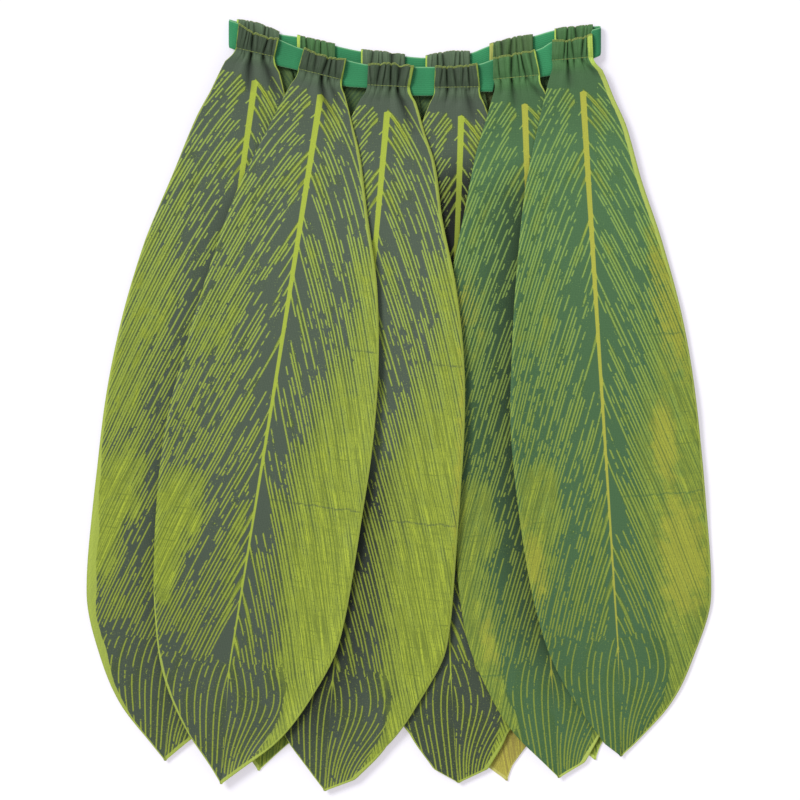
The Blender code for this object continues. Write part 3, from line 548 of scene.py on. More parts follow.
def top_heights(node):
    """Height of the top of a packed leaf's body on a square grid, and where it lies: each triangle
    that faces up fills the cells under it, the gaps are filled from their neighbours, and the
    facets are smoothed by repeated averaging."""
    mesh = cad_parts[node].data
    mesh.calc_loop_triangles()
    points = np.empty(len(mesh.vertices) * 3)
    mesh.vertices.foreach_get("co", points)
    points = points.reshape(-1, 3) / MM - SHIFT
    triangles = np.empty(len(mesh.loop_triangles) * 3, int)
    mesh.loop_triangles.foreach_get("vertices", triangles)
    p = points[triangles.reshape(-1, 3)]
    bl, br = casing_of(node)[2:]
    down = np.array([(br - bl)[1], -(br - bl)[0]]) / np.linalg.norm(br - bl)
    normal = np.cross(p[:, 1] - p[:, 0], p[:, 2] - p[:, 0])
    body = ((p[:, :, :2] - bl) @ down).mean(1) > 0.1
    p = p[body & (normal[:, 2] > LEAST_SLOPE * np.linalg.norm(normal, axis=1))]
    heights = np.full(GRID_COUNT[::-1], -1.0)
    for tri in p:
        q = (tri[:, :2] - GRID_LOW) / CELL
        low, high = np.floor(q.min(0)).astype(int), np.ceil(q.max(0)).astype(int)
        gx, gy = np.meshgrid(np.arange(low[0], high[0] + 1), np.arange(low[1], high[1] + 1))
        e, f = q[1] - q[0], q[2] - q[0]
        area = e[0] * f[1] - e[1] * f[0]
        if abs(area) < 1e-9:
            continue
        b = ((gx - q[0, 0]) * f[1] - (gy - q[0, 1]) * f[0]) / area
        c = (e[0] * (gy - q[0, 1]) - e[1] * (gx - q[0, 0])) / area
        inside = np.minimum(np.minimum(b, c), 1 - b - c) > -1e-6
        z = tri[0, 2] * (1 - b - c) + tri[1, 2] * b + tri[2, 2] * c
        at = (gy[inside], gx[inside])
        heights[at] = np.maximum(heights[at], z[inside])
    known = heights > -0.5
    heights[~known] = 0.0
    weight = known.astype(float)
    for _ in range(FILL_STEPS):
        total, count = box_sum(heights * weight), box_sum(weight)
        grown = (weight == 0) & (count > 0)
        heights[grown] = total[grown] / count[grown]
        weight[grown] = 1.0
    for _ in range(SMOOTH_STEPS):
        heights = box_sum(heights * weight) / np.maximum(box_sum(weight), 1)
    return heights, known.astype(float)


def box_sum(field):
    """Sum of each cell of a grid and its eight neighbours."""
    wide = np.pad(field, 1)
    rows, columns = field.shape
    return sum(wide[j:j + rows, i:i + columns] for j in range(3) for i in range(3))


def sample(field, xy):
    """A grid's value at points between its cells, straight lines in between."""
    q = (xy - GRID_LOW) / CELL
    low = np.clip(np.floor(q).astype(int), 0, np.array(GRID_COUNT) - 2)
    x, y = np.moveaxis(q - low, -1, 0)
    i, j = low[..., 0], low[..., 1]
    return (field[j, i] * (1 - x) * (1 - y) + field[j, i + 1] * x * (1 - y)
            + field[j + 1, i] * (1 - x) * y + field[j + 1, i + 1] * x * y)


# Slow waves: how fast each runs across and along the skirt, and where it starts
SWAYS = ((0.047, 0.013, 0.6), (0.021, -0.034, 2.1), (0.072, 0.041, 4.0))
SWAY_NONE, SWAY_FULL = 215.0, 120.0    # there are none above here, and they are full below here


def sway(xy, height):
    """Slow waves that the whole pile shares, so that its layers keep their distance: three crossed
    sine waves, none at the waist."""
    x, y = xy[..., 0], xy[..., 1]
    wave = sum(np.sin(a * x + b * y + c) for a, b, c in SWAYS) / (2 * len(SWAYS)) + 0.5
    return height * wave * smooth(y, SWAY_NONE, SWAY_FULL)


RUN_OUT = 7.0             # how far the gathers run out below the stitching
RUN_SHARE, RUN_LEVEL = 0.75, 0.4    # how high they are there, and the height that counts as 0
SWELL_AT, SWELL_REACH, SWELL_HEIGHT = 5.0, 4.0, 0.9
CREASE_DEPTH, LIP_HEIGHT = 1.15, 0.5    # for each mm of depth in the table
CREASE_TOP, CREASE_GROWTH = 0.8, 0.9    # its width at the top, and how much that grows to its end
LIP_AT, LIP_REACH = -2.0, 1.3           # in half-widths of the crease


def neck_relief(node, u, down, depth):
    """Folds of a neck: the gathers run out below the stitching, the cloth swells just below it, and
    each crease is a sharp groove with a soft lip on its left, fading along its reach."""
    d = down[:, None]
    relief = RUN_SHARE * depth * (gather_wave(node, u)[None] - RUN_LEVEL)
    relief = relief * hump(d, 0.0, RUN_OUT, 1.3)
    relief = relief + SWELL_HEIGHT * hump(d, SWELL_AT, SWELL_REACH)
    for c in (Crease(*row) for row in CREASES[node]):
        share = d / c.reach
        place = c.top + (c.end - c.top) * share
        off = (u[None] - place) / (c.half * (CREASE_TOP + CREASE_GROWTH * share))
        fade = c.depth * np.clip(1.1 - share, 0, 1) ** 0.7 * smooth(d, 0.0, 2.5)
        relief = relief - fade * CREASE_DEPTH * hump(off, 0.0, 1.0, 1.4)
        relief = relief + fade * LIP_HEIGHT * hump(off, LIP_AT, LIP_REACH)
    return relief * smooth(d, 0.0, 1.0)


def vein_fields(off, down, tt, length):
    """Phase and spacing of the side veins, and of the fan of veins at the tip. A side vein keeps to
    one value of q, the distance down less lean times the distance across and less the hook by which
    it leaves the midrib; its number grows by 1 every VEIN_GAP + VEIN_GROWTH q. The fan's veins keep
    to one share of the width, less the bow round its fork."""
    across = np.abs(off)
    lean = lean_at(tt)
    ahead, behind = lean_at(np.minimum(tt + 0.01, 1)), lean_at(np.maximum(tt - 0.01, 0))
    growth = (ahead - behind) / (0.02 * length)
    hook = np.interp(tt, *zip(*HOOKS))
    q = down - lean * across - hook * (1 - np.exp(-across / HOOK_REACH))
    gap = VEIN_GAP + VEIN_GROWTH * np.maximum(q, LEAST_Q)
    vein = np.log(gap / VEIN_GAP) / VEIN_GROWTH + FIRST_VEIN
    steep = lean + hook / HOOK_REACH * np.exp(-across / HOOK_REACH)
    gap = gap / np.hypot(steep, 1 - growth * across)
    width = 1 - np.where(off < 0, *FAN_NARROWING) * smooth(tt, 0.86, 1.0)
    bow = FAN_BOW * (1 - np.exp(-np.maximum(tt - FAN_START, 0) * length / FAN_BOW_REACH))
    bow = bow * (1 - 0.7 * smooth(tt, 0.88, 0.97) * (off > 0))
    fan = (across / width - bow) / FAN_GAP
    return q, {"vein": vein, "gap": gap, "fan": fan, "fan_gap": FAN_GAP * width}


def ink_fields(leaf, off, down, v, t, length, q):
    """How dense the print is, and where the fan of veins takes over: the patches are laid over the
    open print in turn, a band of solid print runs down the tip, and the print starts at a line."""
    tt, across = np.clip(t, 0, 1), np.abs(off)
    ink = np.full(t.shape, OPEN_INK)
    for p in (Patch(*row) for row in PATCHES + OWN_PATCHES.get(leaf.node, ())):
        weight = hump(tt, p.along, p.reach, 4) * hump(v, p.across, p.spread, 4)
        weight = weight * ((p.hand == 0) | (np.sign(off) == p.hand))
        ink = ink + (p.ink - ink) * weight
    low = smooth(tt, FAN_START - 0.05, FAN_START + 0.05)
    inner = 0.55 + 1.7 * (tt - FAN_START)
    band = smooth(v, inner, inner + 0.17) * (off > 0)
    ink = ink + (BAND_INK - ink) * band * smooth(tt, 0.78, 0.84) * smooth(tt, 0.985, 0.95)
    low = low * (1 - band)
    if leaf.node == LIME_LEFT:
        inner = 0.56 + 0.9 * (tt - 0.78)
        band = smooth(v, inner, inner + 0.16) * (off < 0) * smooth(tt, 0.70, 0.78)
        band = band * smooth(tt, 0.96, 0.90)
        ink, low = ink + (BAND_INK - ink) * band, low * (1 - band)
    start = np.where(off < 0, -60.0, -3.5 - 22.0 * smooth(v, 0.42, 0.64))
    level = np.where(off < 0, np.maximum(-3.0 - 0.08 * across, 15.0 - 1.6 * across), -5.0)
    ink = ink + 0.4 * hump(q, 0.0, 3.0, 4) * hump(across, 0.0, 17.0, 4) * (off > 0)
    if "back" in leaf.node:
        start, level = start - BACK_PRINT_RISE, level - BACK_PRINT_RISE
        ink = ink + 0.2 * (1 - smooth(tt, 0.08, 0.16)) + 0.55 * smooth(tt, 0.88, 0.94)
    ink = ink * smooth(q, start - 2.0, start + 2.0) * smooth(down, level - 2.0, level + 2.0)
    return {"ink": ink * smooth(t * length, 4.0, 11.0), "low": low}


def hem_field(leaf, off, t, side, u):
    """Distance in from the lime edge: from the leaf's edge less the margin, which is a strip at the
    neck, widens at the tip and wavers low on the left."""
    tt = np.clip(t, 0, 1)
    margin = np.interp(tt, *zip(*MARGINS))
    margin = np.maximum(margin, leaf.strip * (1 - smooth(tt, 0.20, 0.45)))
    margin = margin + (leaf.node != PLAIN_TIP) * 2.2 * smooth(tt, 0.93, 0.97)
    left = leaf.edge * np.interp(tt, *zip(*EDGE_WIDTHS))
    left = left * (0.85 + 0.25 * np.sin(47.0 * tt) * np.sin(29.0 * tt + 1.0))
    left = left - 0.6 * (1 - smooth(tt, 0.45, 0.60))
    hem = (1 - np.abs(u)) * side - np.where(off > 0, margin, left)
    if leaf.node in PLAIN_LEFT:
        first, last = PLAIN_LEFT[leaf.node]
        plain = smooth(t, first, first + 0.08) * smooth(tt, last + 0.16, last - 0.16)
        hem = hem + 4.0 * (off < 0) * plain
    return hem


def print_fields(leaf, t, u, wide, length):
    """What the print needs at each point, from grids of t, u and the half-widths: the signed
    distance from the midrib, the distance down from its top, the fields of the veins and the ink,
    the midrib's half-width and the distance to the hem. The back leaves lie face down, so their
    print is mirrored."""
    shift = np.interp(t, RIBS_AT, (leaf.ribs[0], *leaf.ribs, 0.0))
    side = np.where(u < 0, wide[-1], wide[1])
    off = u * side - shift
    reach = np.where(off < 0, wide[-1] + shift, wide[1] - shift)
    v = np.clip(np.abs(off) / np.maximum(reach, 0.5), 0, 1.2)
    if "back" in leaf.node:
        off = -off
    down, tt = t * length - leaf.cap, np.clip(t, 0, 1)
    q, veins = vein_fields(off, down, tt, length)
    warm = np.zeros(t.shape)
    for hand, along, reach, across, spread, amount in WARMS.get(leaf.node, ()):
        weight = hump(tt, along, reach) * hump(v, across, spread) * (np.sign(off) == hand)
        warm = np.maximum(warm, amount * weight)
    return {"off": off, "down": down, "warm": warm, "hem": hem_field(leaf, off, t, side, u),
            "rib": np.where(down < 0, -1.0, rib_half(tt)), **veins,
            **ink_fields(leaf, off, down, v, t, length, q)}


def grid_normals(grid):
    """Unit normals of a grid of points: the rows' direction crossed with the columns'."""
    normal = np.cross(np.gradient(grid, axis=0), np.gradient(grid, axis=1))
    return normal / np.maximum(np.linalg.norm(normal, axis=2, keepdims=True), 1e-12)


def quads_of(ids):
    """The faces of a grid of point numbers."""
    corners = [ids[:-1, :-1], ids[1:, :-1], ids[1:, 1:], ids[:-1, 1:]]
    return np.stack(corners, axis=-1).reshape(-1, 4)


def shell(grid, normal, thickness):
    """A closed thin shell about a grid: the grid moved out and in by half the thickness, and a rim
    round its border. Gives the points, the faces and how many of the faces are the outer side."""
    rows, columns = grid.shape[:2]
    points = np.concatenate([(grid + normal * thickness / 2).reshape(-1, 3),
                             (grid - normal * thickness / 2).reshape(-1, 3)])
    ids = np.arange(rows * columns).reshape(rows, columns)
    quads = quads_of(ids)
    border = np.concatenate([ids[0, :-1], ids[:-1, -1], ids[-1, :0:-1], ids[:0:-1, 0]])
    after = np.roll(border, -1)
    inner = rows * columns
    rim = np.stack([border, after, after + inner, border + inner], axis=-1)
    return points, np.concatenate([quads, quads[:, ::-1] + inner, rim]), len(quads)


def new_piece(name, points, faces, materials, face_materials=None, fields=None, uv=None):
    """A smooth-shaded mesh object in metres with its place in its mesh, its fields as point
    attributes and its UV map."""
    mesh = bpy.data.meshes.new(name)
    faces = np.asarray(faces)
    mesh.vertices.add(len(points))
    mesh.vertices.foreach_set("co", ((points + SHIFT) * MM).astype(np.float32).ravel())
    mesh.loops.add(faces.size)
    mesh.loops.foreach_set("vertex_index", faces.ravel().astype(np.int32))
    mesh.polygons.add(len(faces))
    mesh.polygons.foreach_set("loop_start", np.arange(0, faces.size, 4, dtype=np.int32))
    mesh.update(calc_edges=True)
    mesh.validate()
    mesh.shade_smooth()
    for material in materials:
        mesh.materials.append(material)
    if face_materials is not None:
        mesh.polygons.foreach_set("material_index", np.asarray(face_materials, np.int32))
    for key, values in (fields or {}).items():
        mesh.attributes.new(key, "FLOAT", "POINT").data.foreach_set(
            "value", values.astype(np.float32).ravel())
    if uv is not None:
        layer = mesh.uv_layers.new(name="cloth")
        layer.data.foreach_set("uv", uv[faces.ravel()].astype(np.float32).ravel())
    made = bpy.data.objects.new(name, mesh)
    bpy.context.scene.collection.objects.link(made)
    return made


def node(tree, kind, *inputs, out=None, **named):
    """Adds one shader node and gives back an output: the first, unless out names another. kind is
    its type, then its operation or data type if it has one. The inputs fill its sockets in order.
    Of the named values, those with a capital fill sockets too, and the others are settings."""
    kind, _, variant = kind.partition(" ")
    made = tree.nodes.new("ShaderNode" + kind)
    if variant:
        setattr(made, "data_type" if kind == "Mix" else "operation", variant)
    for key in [key for key in named if key[0].islower()]:
        setattr(made, key, named.pop(key))
    sockets = [socket for socket in made.inputs if socket.enabled][:len(inputs)]
    filled = list(zip(sockets, inputs, strict=True))
    filled += [(made.inputs[key], value) for key, value in named.items()]
    for socket, value in filled:
        if isinstance(value, bpy.types.NodeSocket):
            tree.links.new(value, socket)
        else:
            socket.default_value = value
    return made.outputs[out] if out else next(o for o in made.outputs if o.enabled)


def stretched_space(tree, *axes):
    """A space for noise, stretched its own way along each axis: every axis is a value and how many
    cells of the noise it passes in one of its units."""
    return node(tree, "CombineXYZ", *(node(tree, "Math MULTIPLY", *axis) for axis in axes))


def new_material(name, **values):
    """A material with a Principled shader, given its plain values, its tree and its shader's
    sockets. An underscore in a value's name stands for a space."""
    made = bpy.data.materials.new(name)
    made.use_nodes = True
    sockets = made.node_tree.nodes["Principled BSDF"].inputs
    for key, value in values.items():
        sockets[key.replace("_", " ")].default_value = value
    return made, made.node_tree, sockets


FLAT = {"noise_dimensions": "2D"}    # noise on the cloth, not through it
# Scales of noise and waves on the cloth's own map, which is in mm. A wave's length is pi / 10 / its
# scale
GRAIN_SCALE, BLOT_SCALE = 0.85, 0.09
WEAVE_WAVE = 0.24         # 1.3 mm
RIB_WAVE, ROW_WAVE = 0.20, 0.34    # 1.6 and 0.9 mm
TWIST_WAVE = 0.50         # 0.6 mm
UNEVEN = ((0.10, 2.1, 0.4), (0.04, 5.3, 1.9))    # how many gaps veins stray, how fast, from where
SIDE_NUMBER = 71.0        # keeps the noise of the right side's veins apart from the left's
GATHERED_TINT = (1.03, 1.16, 0.96, 1)    # gathered cloth looks a little greener


def printed_polyester(name, inks, warm_ink, warm_gap, width, dryness, reverse=None):
    """Plain-woven polyester, piece dyed and screen printed, so dull satin with dry, slightly broken
    ink lines. The real weave is 0.2 mm, too fine to show, so its bump is drawn at 1.3 mm. Veins are
    lines of equal phase, widened by the ink and broken along their length by noise."""
    made, t, shader = new_material(name, Roughness=0.62 if reverse is None else 0.75,
                                   Specular_IOR_Level=0.22, Sheen_Weight=0.01, Sheen_Roughness=0.5)
    add, stretched = partial(node, t), partial(stretched_space, t)
    ground, stained, gap_dye, fine_dye, ink_dye, rib_dye, edge_dye, warm_ink, warm_gap = (
        (*colour, 1) for colour in (*inks, warm_ink, warm_gap))
    cloth = add("UVMap", uv_map="cloth")
    off, down, _ = add("SeparateXYZ", cloth).node.outputs
    vein, gap, fan, fan_gap, low, ink, rib, hem, warm, depth, drawn, shade = (
        add("Attribute", out="Fac", attribute_name=key) for key in PRINT_FIELDS)
    grain = add("TexNoise", cloth, GRAIN_SCALE, 2.0, 0.7, **FLAT)
    blot = add("TexNoise", cloth, BLOT_SCALE, 4.0, 0.7, **FLAT)
    # Side veins above, the fan of veins below a ragged border
    lower = add("Math GREATER_THAN", add("Math ADD", blot, low), 1.0)
    upper = add("Math SUBTRACT", 1.0, lower)
    right = add("Math GREATER_THAN", off, 0.0)
    phase, gap = add("Mix FLOAT", lower, vein, fan), add("Mix FLOAT", lower, gap, fan_gap)
    # The veins are unevenly spaced: the phase runs ahead and behind by two sines
    turns = [add("Math MULTIPLY_ADD", phase, rate, first) for _, rate, first in UNEVEN]
    slope = 1.0
    for turn, (stray, rate, _) in zip(turns, UNEVEN):
        phase = add("Math MULTIPLY_ADD", add("Math SINE", turn), stray, phase)
        slope = add("Math MULTIPLY_ADD", add("Math COSINE", turn), stray * rate, slope)
    gap = add("Math DIVIDE", gap, slope)
    number = add("Math MULTIPLY_ADD", right, SIDE_NUMBER, add("Math FLOOR", phase))
    middle = add("Math SUBTRACT", add("Math FRACT", phase), 0.5)
    middle = add("Math MULTIPLY", add("Math ABSOLUTE", middle), gap)
    # Dashes: noise along each vein, unlike from vein to vein
    along = add("MapRange", right, 0.0, 1.0, 1 / 20.0, 1 / 30.0)
    along = add("Mix FLOAT", lower, along, 1 / 15.0)
    dash = add("TexNoise", stretched((down, along), (number, 7.31)), 1.0, 2.0, 0.6, **FLAT)
    dash = add("MapRange", dash, 0.28, 0.72, 0.0, 0.62)
    dash = add("Math MULTIPLY", dash, add("MapRange", down, 180.0, 360.0, 1.0, 0.8))
    # Broad streaks along the veins
    space = stretched((vein, 0.33), (down, 1 / 60.0), (right, 9.0))
    streak = add("TexNoise", space, 1.0, 3.0, 0.5)
    strength = add("Math MULTIPLY_ADD", add("Math ADD", streak, -0.5), 0.8, ink)
    # Near the midrib the veins come in bundles
    space = stretched((down, 1 / 60.0), (number, 0.37))
    bundle = add("TexNoise", space, 1.0, 1.0, 0.5, **FLAT)
    bundle = add("MapRange", bundle, 0.3, 0.7, -0.35, 0.45)
    from_rib = add("Math ABSOLUTE", off)
    close = add("Math MULTIPLY", add("MapRange", from_rib, 5.0, 24.0, 1.0, 0.0), upper)
    strength = add("Math MULTIPLY_ADD", bundle, close, strength)
    strength = add("Math MULTIPLY_ADD", add("Math ADD", blot, -0.5), 0.5, strength)
    # Brushed patches on the left, a dozen veins wide
    lump = add("TexNoise", stretched((vein, 0.13), (down, 1 / 46.0)), 1.0, 3.0, 0.6, **FLAT)
    lump = add("MapRange", lump, 0.53, 0.60, 0.0, 0.26)
    lump = add("Mix FLOAT", right, lump, 0.0)
    lump = add("Math MULTIPLY", lump, add("MapRange", ink, 0.46, 0.62, 0.0, 1.0))
    strength = add("Math ADD", strength, lump)
    # Every other vein starts clear of the midrib, and breaks off where the print is open
    odd = add("Math FLOORED_MODULO", number, 2.0)
    short = add("Math MULTIPLY", add("MapRange", from_rib, 4.0, 8.0, -0.55, 0.0), upper)
    strength = add("Math MULTIPLY_ADD", odd, short, strength)
    sparse = add("Math MULTIPLY", add("MapRange", strength, 0.42, 0.60, -0.15, 0.0), upper)
    strength = add("Math MULTIPLY_ADD", odd, sparse, strength)
    # A vein is inked where its strength passes the dashes' noise, and widens where it is strong
    inked = add("MapRange", ink, 0.05, 0.2, 0.0, 1.0)
    present = add("MapRange", add("Math SUBTRACT", strength, dash), 0.0, 0.05, 0.0, 1.0)
    present = add("Math MULTIPLY", present, inked)
    line = add("Math MULTIPLY", present, width / 2 / MM)
    extra = add("Math MULTIPLY", add("MapRange", strength, 0.58, 1.02, 0.0, 0.19), gap)
    reach = add("Math MULTIPLY_ADD", extra, present, line)
    printed = add("MapRange", add("Math SUBTRACT", reach, middle), -0.2, 0.2, 0.0, 1.0)
    printed = add("Math MULTIPLY", printed, present)
    # Flecks where the ink missed or spattered
    missed = add("MapRange", grain, 0.36, 0.31, 0.0, 0.8)
    spat = add("MapRange", grain, 0.68, 0.71, 0.0, 0.8)
    spat = add("Math MULTIPLY", spat, add("MapRange", strength, 0.12, 0.45, 0.0, 1.0))
    spat = add("Math MULTIPLY", spat, inked)
    printed = add("Math SUBTRACT", printed, missed, use_clamp=True)
    printed = add("Math MAXIMUM", printed, spat)
    # Between solid veins the gaps are half inked, and fine darker lines cross the solid ink
    solid = add("Math MULTIPLY", add("MapRange", strength, 0.58, 0.98, 0.0, 1.0), inked)
    stain = add("Math MULTIPLY", add("MapRange", strength, 0.38, 0.62, 0.0, 1.0), inked)
    # The ground, scaled by the depth field: lighter or darker along the leaf, with a painted shadow
    # beside a leaf that covers it
    under = add("VectorMath SCALE", add("Mix RGBA", stain, ground, stained), depth)
    under = add("Mix RGBA", solid, under, gap_dye)
    fine = add("TexNoise", stretched((phase, 3.4), (down, 1 / 34.0)), 1.0, 3.0, 0.65, **FLAT)
    space = stretched((off, 1 / 26.0), (down, 1 / 2.2))
    brushed = add("TexNoise", space, 1.0, 2.0, 0.5, **FLAT)
    fine = add("Math MULTIPLY_ADD", brushed, 0.12, fine)
    fine = add("MapRange", fine, 0.46, 0.64, 0.0, 0.9)
    fine = add("Math MAXIMUM", fine, add("MapRange", brushed, 0.69, 0.72, 0.0, 0.8))
    fine = add("Math MULTIPLY", fine, solid)
    lime = add("Math MAXIMUM", add("MapRange", down, 80.0, 360.0, 0.0, 0.7), solid)
    over = add("Mix RGBA", lime, fine_dye, ink_dye)
    faint = add("Mix FLOAT", solid, add("MapRange", down, 120.0, 440.0, 1.0, 0.68), 1.0)
    over = add("VectorMath SCALE", over, faint)
    over = add("Mix RGBA", fine, over, gap_dye)
    # Dry streaks, where the ink is thin and the ground shows through it
    space = stretched((phase, 0.55), (down, 1 / 42.0), (right, 5.0))
    dry = add("TexNoise", space, 1.0, 4.0, 0.65)
    dry = add("Math MULTIPLY", add("MapRange", dry, 0.46, 0.62, 0.0, dryness), solid)
    over = add("Mix RGBA", dry, over, gap_dye)
    # Warmer yellow in ragged patches
    warmth = add("MapRange", add("Math MULTIPLY_ADD", blot, 0.8, warm), 0.72, 1.08, 0.0, 0.6)
    over = add("Mix RGBA", warmth, over, warm_ink)
    warmth = add("Math MULTIPLY", add("Math MULTIPLY", warmth, solid), 0.55)
    under = add("Mix RGBA", warmth, under, warm_gap)
    base = add("Mix RGBA", printed, under, over)
    # Dotted lines across the print
    wobble = add("Math MULTIPLY_ADD", blot, 5.0, down)
    dots = add("MapRange", grain, 0.46, 0.52, 0.0, 0.8)
    dots = add("Math MULTIPLY", dots, add("MapRange", strength, 0.45, 0.65, 0.0, 1.0))
    for place, hand in CROSSINGS:
        mark = add("Math ABSOLUTE", add("Math SUBTRACT", wobble, place + 2.5))
        mark = add("Math MULTIPLY", add("MapRange", mark, 0.5, 1.1, 1.0, 0.0), dots)
        side = right if hand > 0 else add("Math SUBTRACT", 1.0, right)
        base = add("Mix RGBA", add("Math MULTIPLY", mark, side), base, stained)
    # The midrib, with a barb where a vein joins it, and the hem
    from_rib = add("Math SUBTRACT", rib, from_rib)
    from_rib = add("Math MULTIPLY_ADD", printed, 0.5, from_rib)
    faint = add("MapRange", down, 150.0, 500.0, 1.0, 0.82)
    base = add("Mix RGBA", add("MapRange", from_rib, -0.25, 0.3, 0.0, 1.0), base,
               add("VectorMath SCALE", rib_dye[:3], faint))
    hem = add("Math MULTIPLY_ADD", blot, 1.6, hem)
    base = add("Mix RGBA", add("MapRange", hem, 1.5, 2.0, 0.85, 0.0), base, edge_dye)
    if reverse is not None:
        pale = add("MapRange", down, -22.0, 60.0, 0.75, 0.5)
        pale = add("Math SUBTRACT", pale, add("MapRange", down, 400.0, 470.0, 0.0, 0.5))
        base = add("Mix RGBA", pale, base, (*reverse, 1))
    # Grain mottle times the shade field: painted shade in the gathers, creases and gaps and beside
    # a covering leaf, and painted highlights on the humps and where the cloth stands up
    mottle = add("Math MULTIPLY", add("MapRange", grain, 0.2, 0.8, 0.9, 1.1), shade)
    base = add("VectorMath SCALE", base, mottle)
    tint = add("Mix RGBA", drawn, (1, 1, 1, 1), GATHERED_TINT)
    base = add("VectorMath MULTIPLY", base, tint)
    t.links.new(base, shader["Base Color"])
    # Small wrinkles in the gathered cloth, then the weave
    space = stretched((off, 1 / 2.4), (down, 1 / 22.0))
    wrinkle = add("TexNoise", space, 1.0, 2.0, 0.5, **FLAT)
    wrinkle = add("Math MULTIPLY", wrinkle, drawn)
    creased = add("Bump", Strength=0.8, Distance=0.0012, Height=wrinkle)
    warp, weft = (add("TexWave", cloth, WEAVE_WAVE, 1.0, 1.0, out="Fac", bands_direction=axis)
                  for axis in "XY")
    weave = add("Math ADD", add("Math ADD", warp, weft), grain)
    bumped = add("Bump", Strength=0.2, Distance=0.0002, Height=weave, Normal=creased)
    t.links.new(bumped, shader["Normal"])
    return made


def knitted_elastic(colour, rim_colour):
    """Ribbed knitted elastic of polyester over rubber, so matt with fine ribs along its length. The
    real ribs are 0.7 mm, drawn at 1.6 mm to show. Its selvedge is knitted in a paler yarn."""
    made, t, shader = new_material("Knitted elastic", Roughness=0.7, Specular_IOR_Level=0.3)
    add = partial(node, t)
    cloth = add("UVMap", uv_map="cloth")
    ribs = add("TexWave", cloth, RIB_WAVE, 0.6, 1.0, out="Fac", bands_direction="Y")
    rows = add("TexWave", cloth, ROW_WAVE, 1.5, 1.0, out="Fac", bands_direction="X")
    speck = add("TexNoise", cloth, 0.9, 2.0, **FLAT)
    slow = add("TexNoise", cloth, 0.02, 1.0, **FLAT)
    shade = add("Math MULTIPLY", add("MapRange", ribs, 0.0, 1.0, 0.93, 1.05),
                add("MapRange", speck, 0.3, 0.7, 0.94, 1.06))
    shade = add("Math MULTIPLY", shade, add("MapRange", slow, 0.35, 0.65, 0.86, 1.14))
    base = add("VectorMath SCALE", tuple(colour), shade)
    rim = add("Attribute", out="Fac", attribute_name="rim")
    rim = add("MapRange", rim, 0.5, 1.1, 0.75, 0.0)
    base = add("Mix RGBA", rim, base, (*rim_colour, 1))
    t.links.new(base, shader["Base Color"])
    relief = add("Math MULTIPLY_ADD", rows, 0.4, ribs)
    bumped = add("Bump", Strength=0.35, Distance=0.0003, Height=relief)
    t.links.new(bumped, shader["Normal"])
    return made


def spun_thread(colour):
    """Spun polyester sewing thread: two twisted plies, so a fine slanting light and dark."""
    made, t, shader = new_material("Spun polyester thread", Roughness=0.6)
    cloth = node(t, "UVMap", uv_map="cloth")
    twist = node(t, "TexWave", cloth, TWIST_WAVE, 0.3, out="Fac", bands_direction="DIAGONAL")
    shade = node(t, "MapRange", twist, 0.0, 1.0, 0.85, 1.1)
    base = node(t, "VectorMath SCALE", tuple(colour), shade)
    t.links.new(base, shader["Base Color"])
    return made


def opal_acrylic(colour, glow_colour):
    """Opal acrylic sheet over a light box: matt, even, and lit from below, so that shadows on it
    stay pale."""
    made, t, shader = new_material("Opal acrylic", Roughness=0.9, Specular_IOR_Level=0.1,
                                   Emission_Color=(*glow_colour, 1), Emission_Strength=FLOOR_GLOW)
    at = node(t, "TexCoord", out="Object")
    mottle = node(t, "TexNoise", at, 9.0, 2.0)
    shade = node(t, "MapRange", mottle, 0.3, 0.7, 0.995, 1.0)
    base = node(t, "VectorMath SCALE", tuple(colour), shade)
    t.links.new(base, shader["Base Color"])
    return made


PRINT_FIELDS = ("vein", "gap", "fan", "fan_gap", "low", "ink", "rib", "hem", "warm", "depth",
                "drawn", "shade")
# How light gathered cloth looks on a front leaf, and a back leaf all over
GATHERED_SHADE = {"slate": 0.63, "green": 0.95, "amber": 0.8}
BACK_SHADE = {"slate": 1.22, "green": 1.05, "amber": 0.84}
# A painted shadow darkens cloth beside a leaf that covers it: how far it reaches, in steps of
# averaging, how far the shadowed strip is moved, because it is darker on one side than on the
# other, and its greatest strength
COVER_BLUR = 130
COVER_SHIFT = np.array([14.0, 0.0])
MOST_PAINTED_SHADOW = 0.85
# How light the ground is along a leaf, at shares of its length
DEPTH_AT = (0.0, 0.06, 0.12, 0.30, 0.50, 0.70, 1.0)
GROUND_DEPTH = {"slate": (1.0, 1.0, 1.05, 1.01, 0.92, 0.83, 0.76),
                "green": (0.92, 0.92, 1.10, 0.98, 0.90, 0.88, 0.86),
                "amber": (1.0, 1.0, 1.0, 1.0, 1.0, 1.3, 1.8)}
FRONT_COLUMNS, BACK_COLUMNS = 93, 63
FRONT_ROWS = np.concatenate([np.linspace(0, 0.10, 46), np.linspace(0.10, 0.25, 32)[1:],
                             np.linspace(0.25, 0.92, 92)[1:], np.linspace(0.92, 1, 26)[1:]])
BACK_ROWS = np.concatenate([np.linspace(0, 0.10, 24), np.linspace(0.10, 0.92, 82)[1:],
                            np.linspace(0.92, 1, 20)[1:]])
CURL_REACH = 9.0          # a free edge curls up over this width
CURL_MEAN, CURL_STRAY = 0.65, 0.35    # shares of the table's curl: its mean, and how far it strays
TIP_LIFT = 0.3
GRIDS, TOPS = {}, {}      # each leaf's mid-surface as laid, and the heights of its packed top


def gather_shade(node, u):
    """How light gathered cloth looks across a casing: dark in each valley and a little to the right
    of it, and light on the hump to the left of it."""
    shade = np.ones_like(u)
    for g in gathers_of(node):
        off = (u - g.place) / g.half
        shade = shade - min(0.80, 0.15 + 0.40 * g.depth) * hump(off, 0.0, 0.62, 1.4)
        shade = shade - 0.10 * g.depth * hump(off, 1.6, 1.2) + 0.24 * hump(off, -1.9, 0.6)
    return np.clip(shade, 0.2, 1.3)


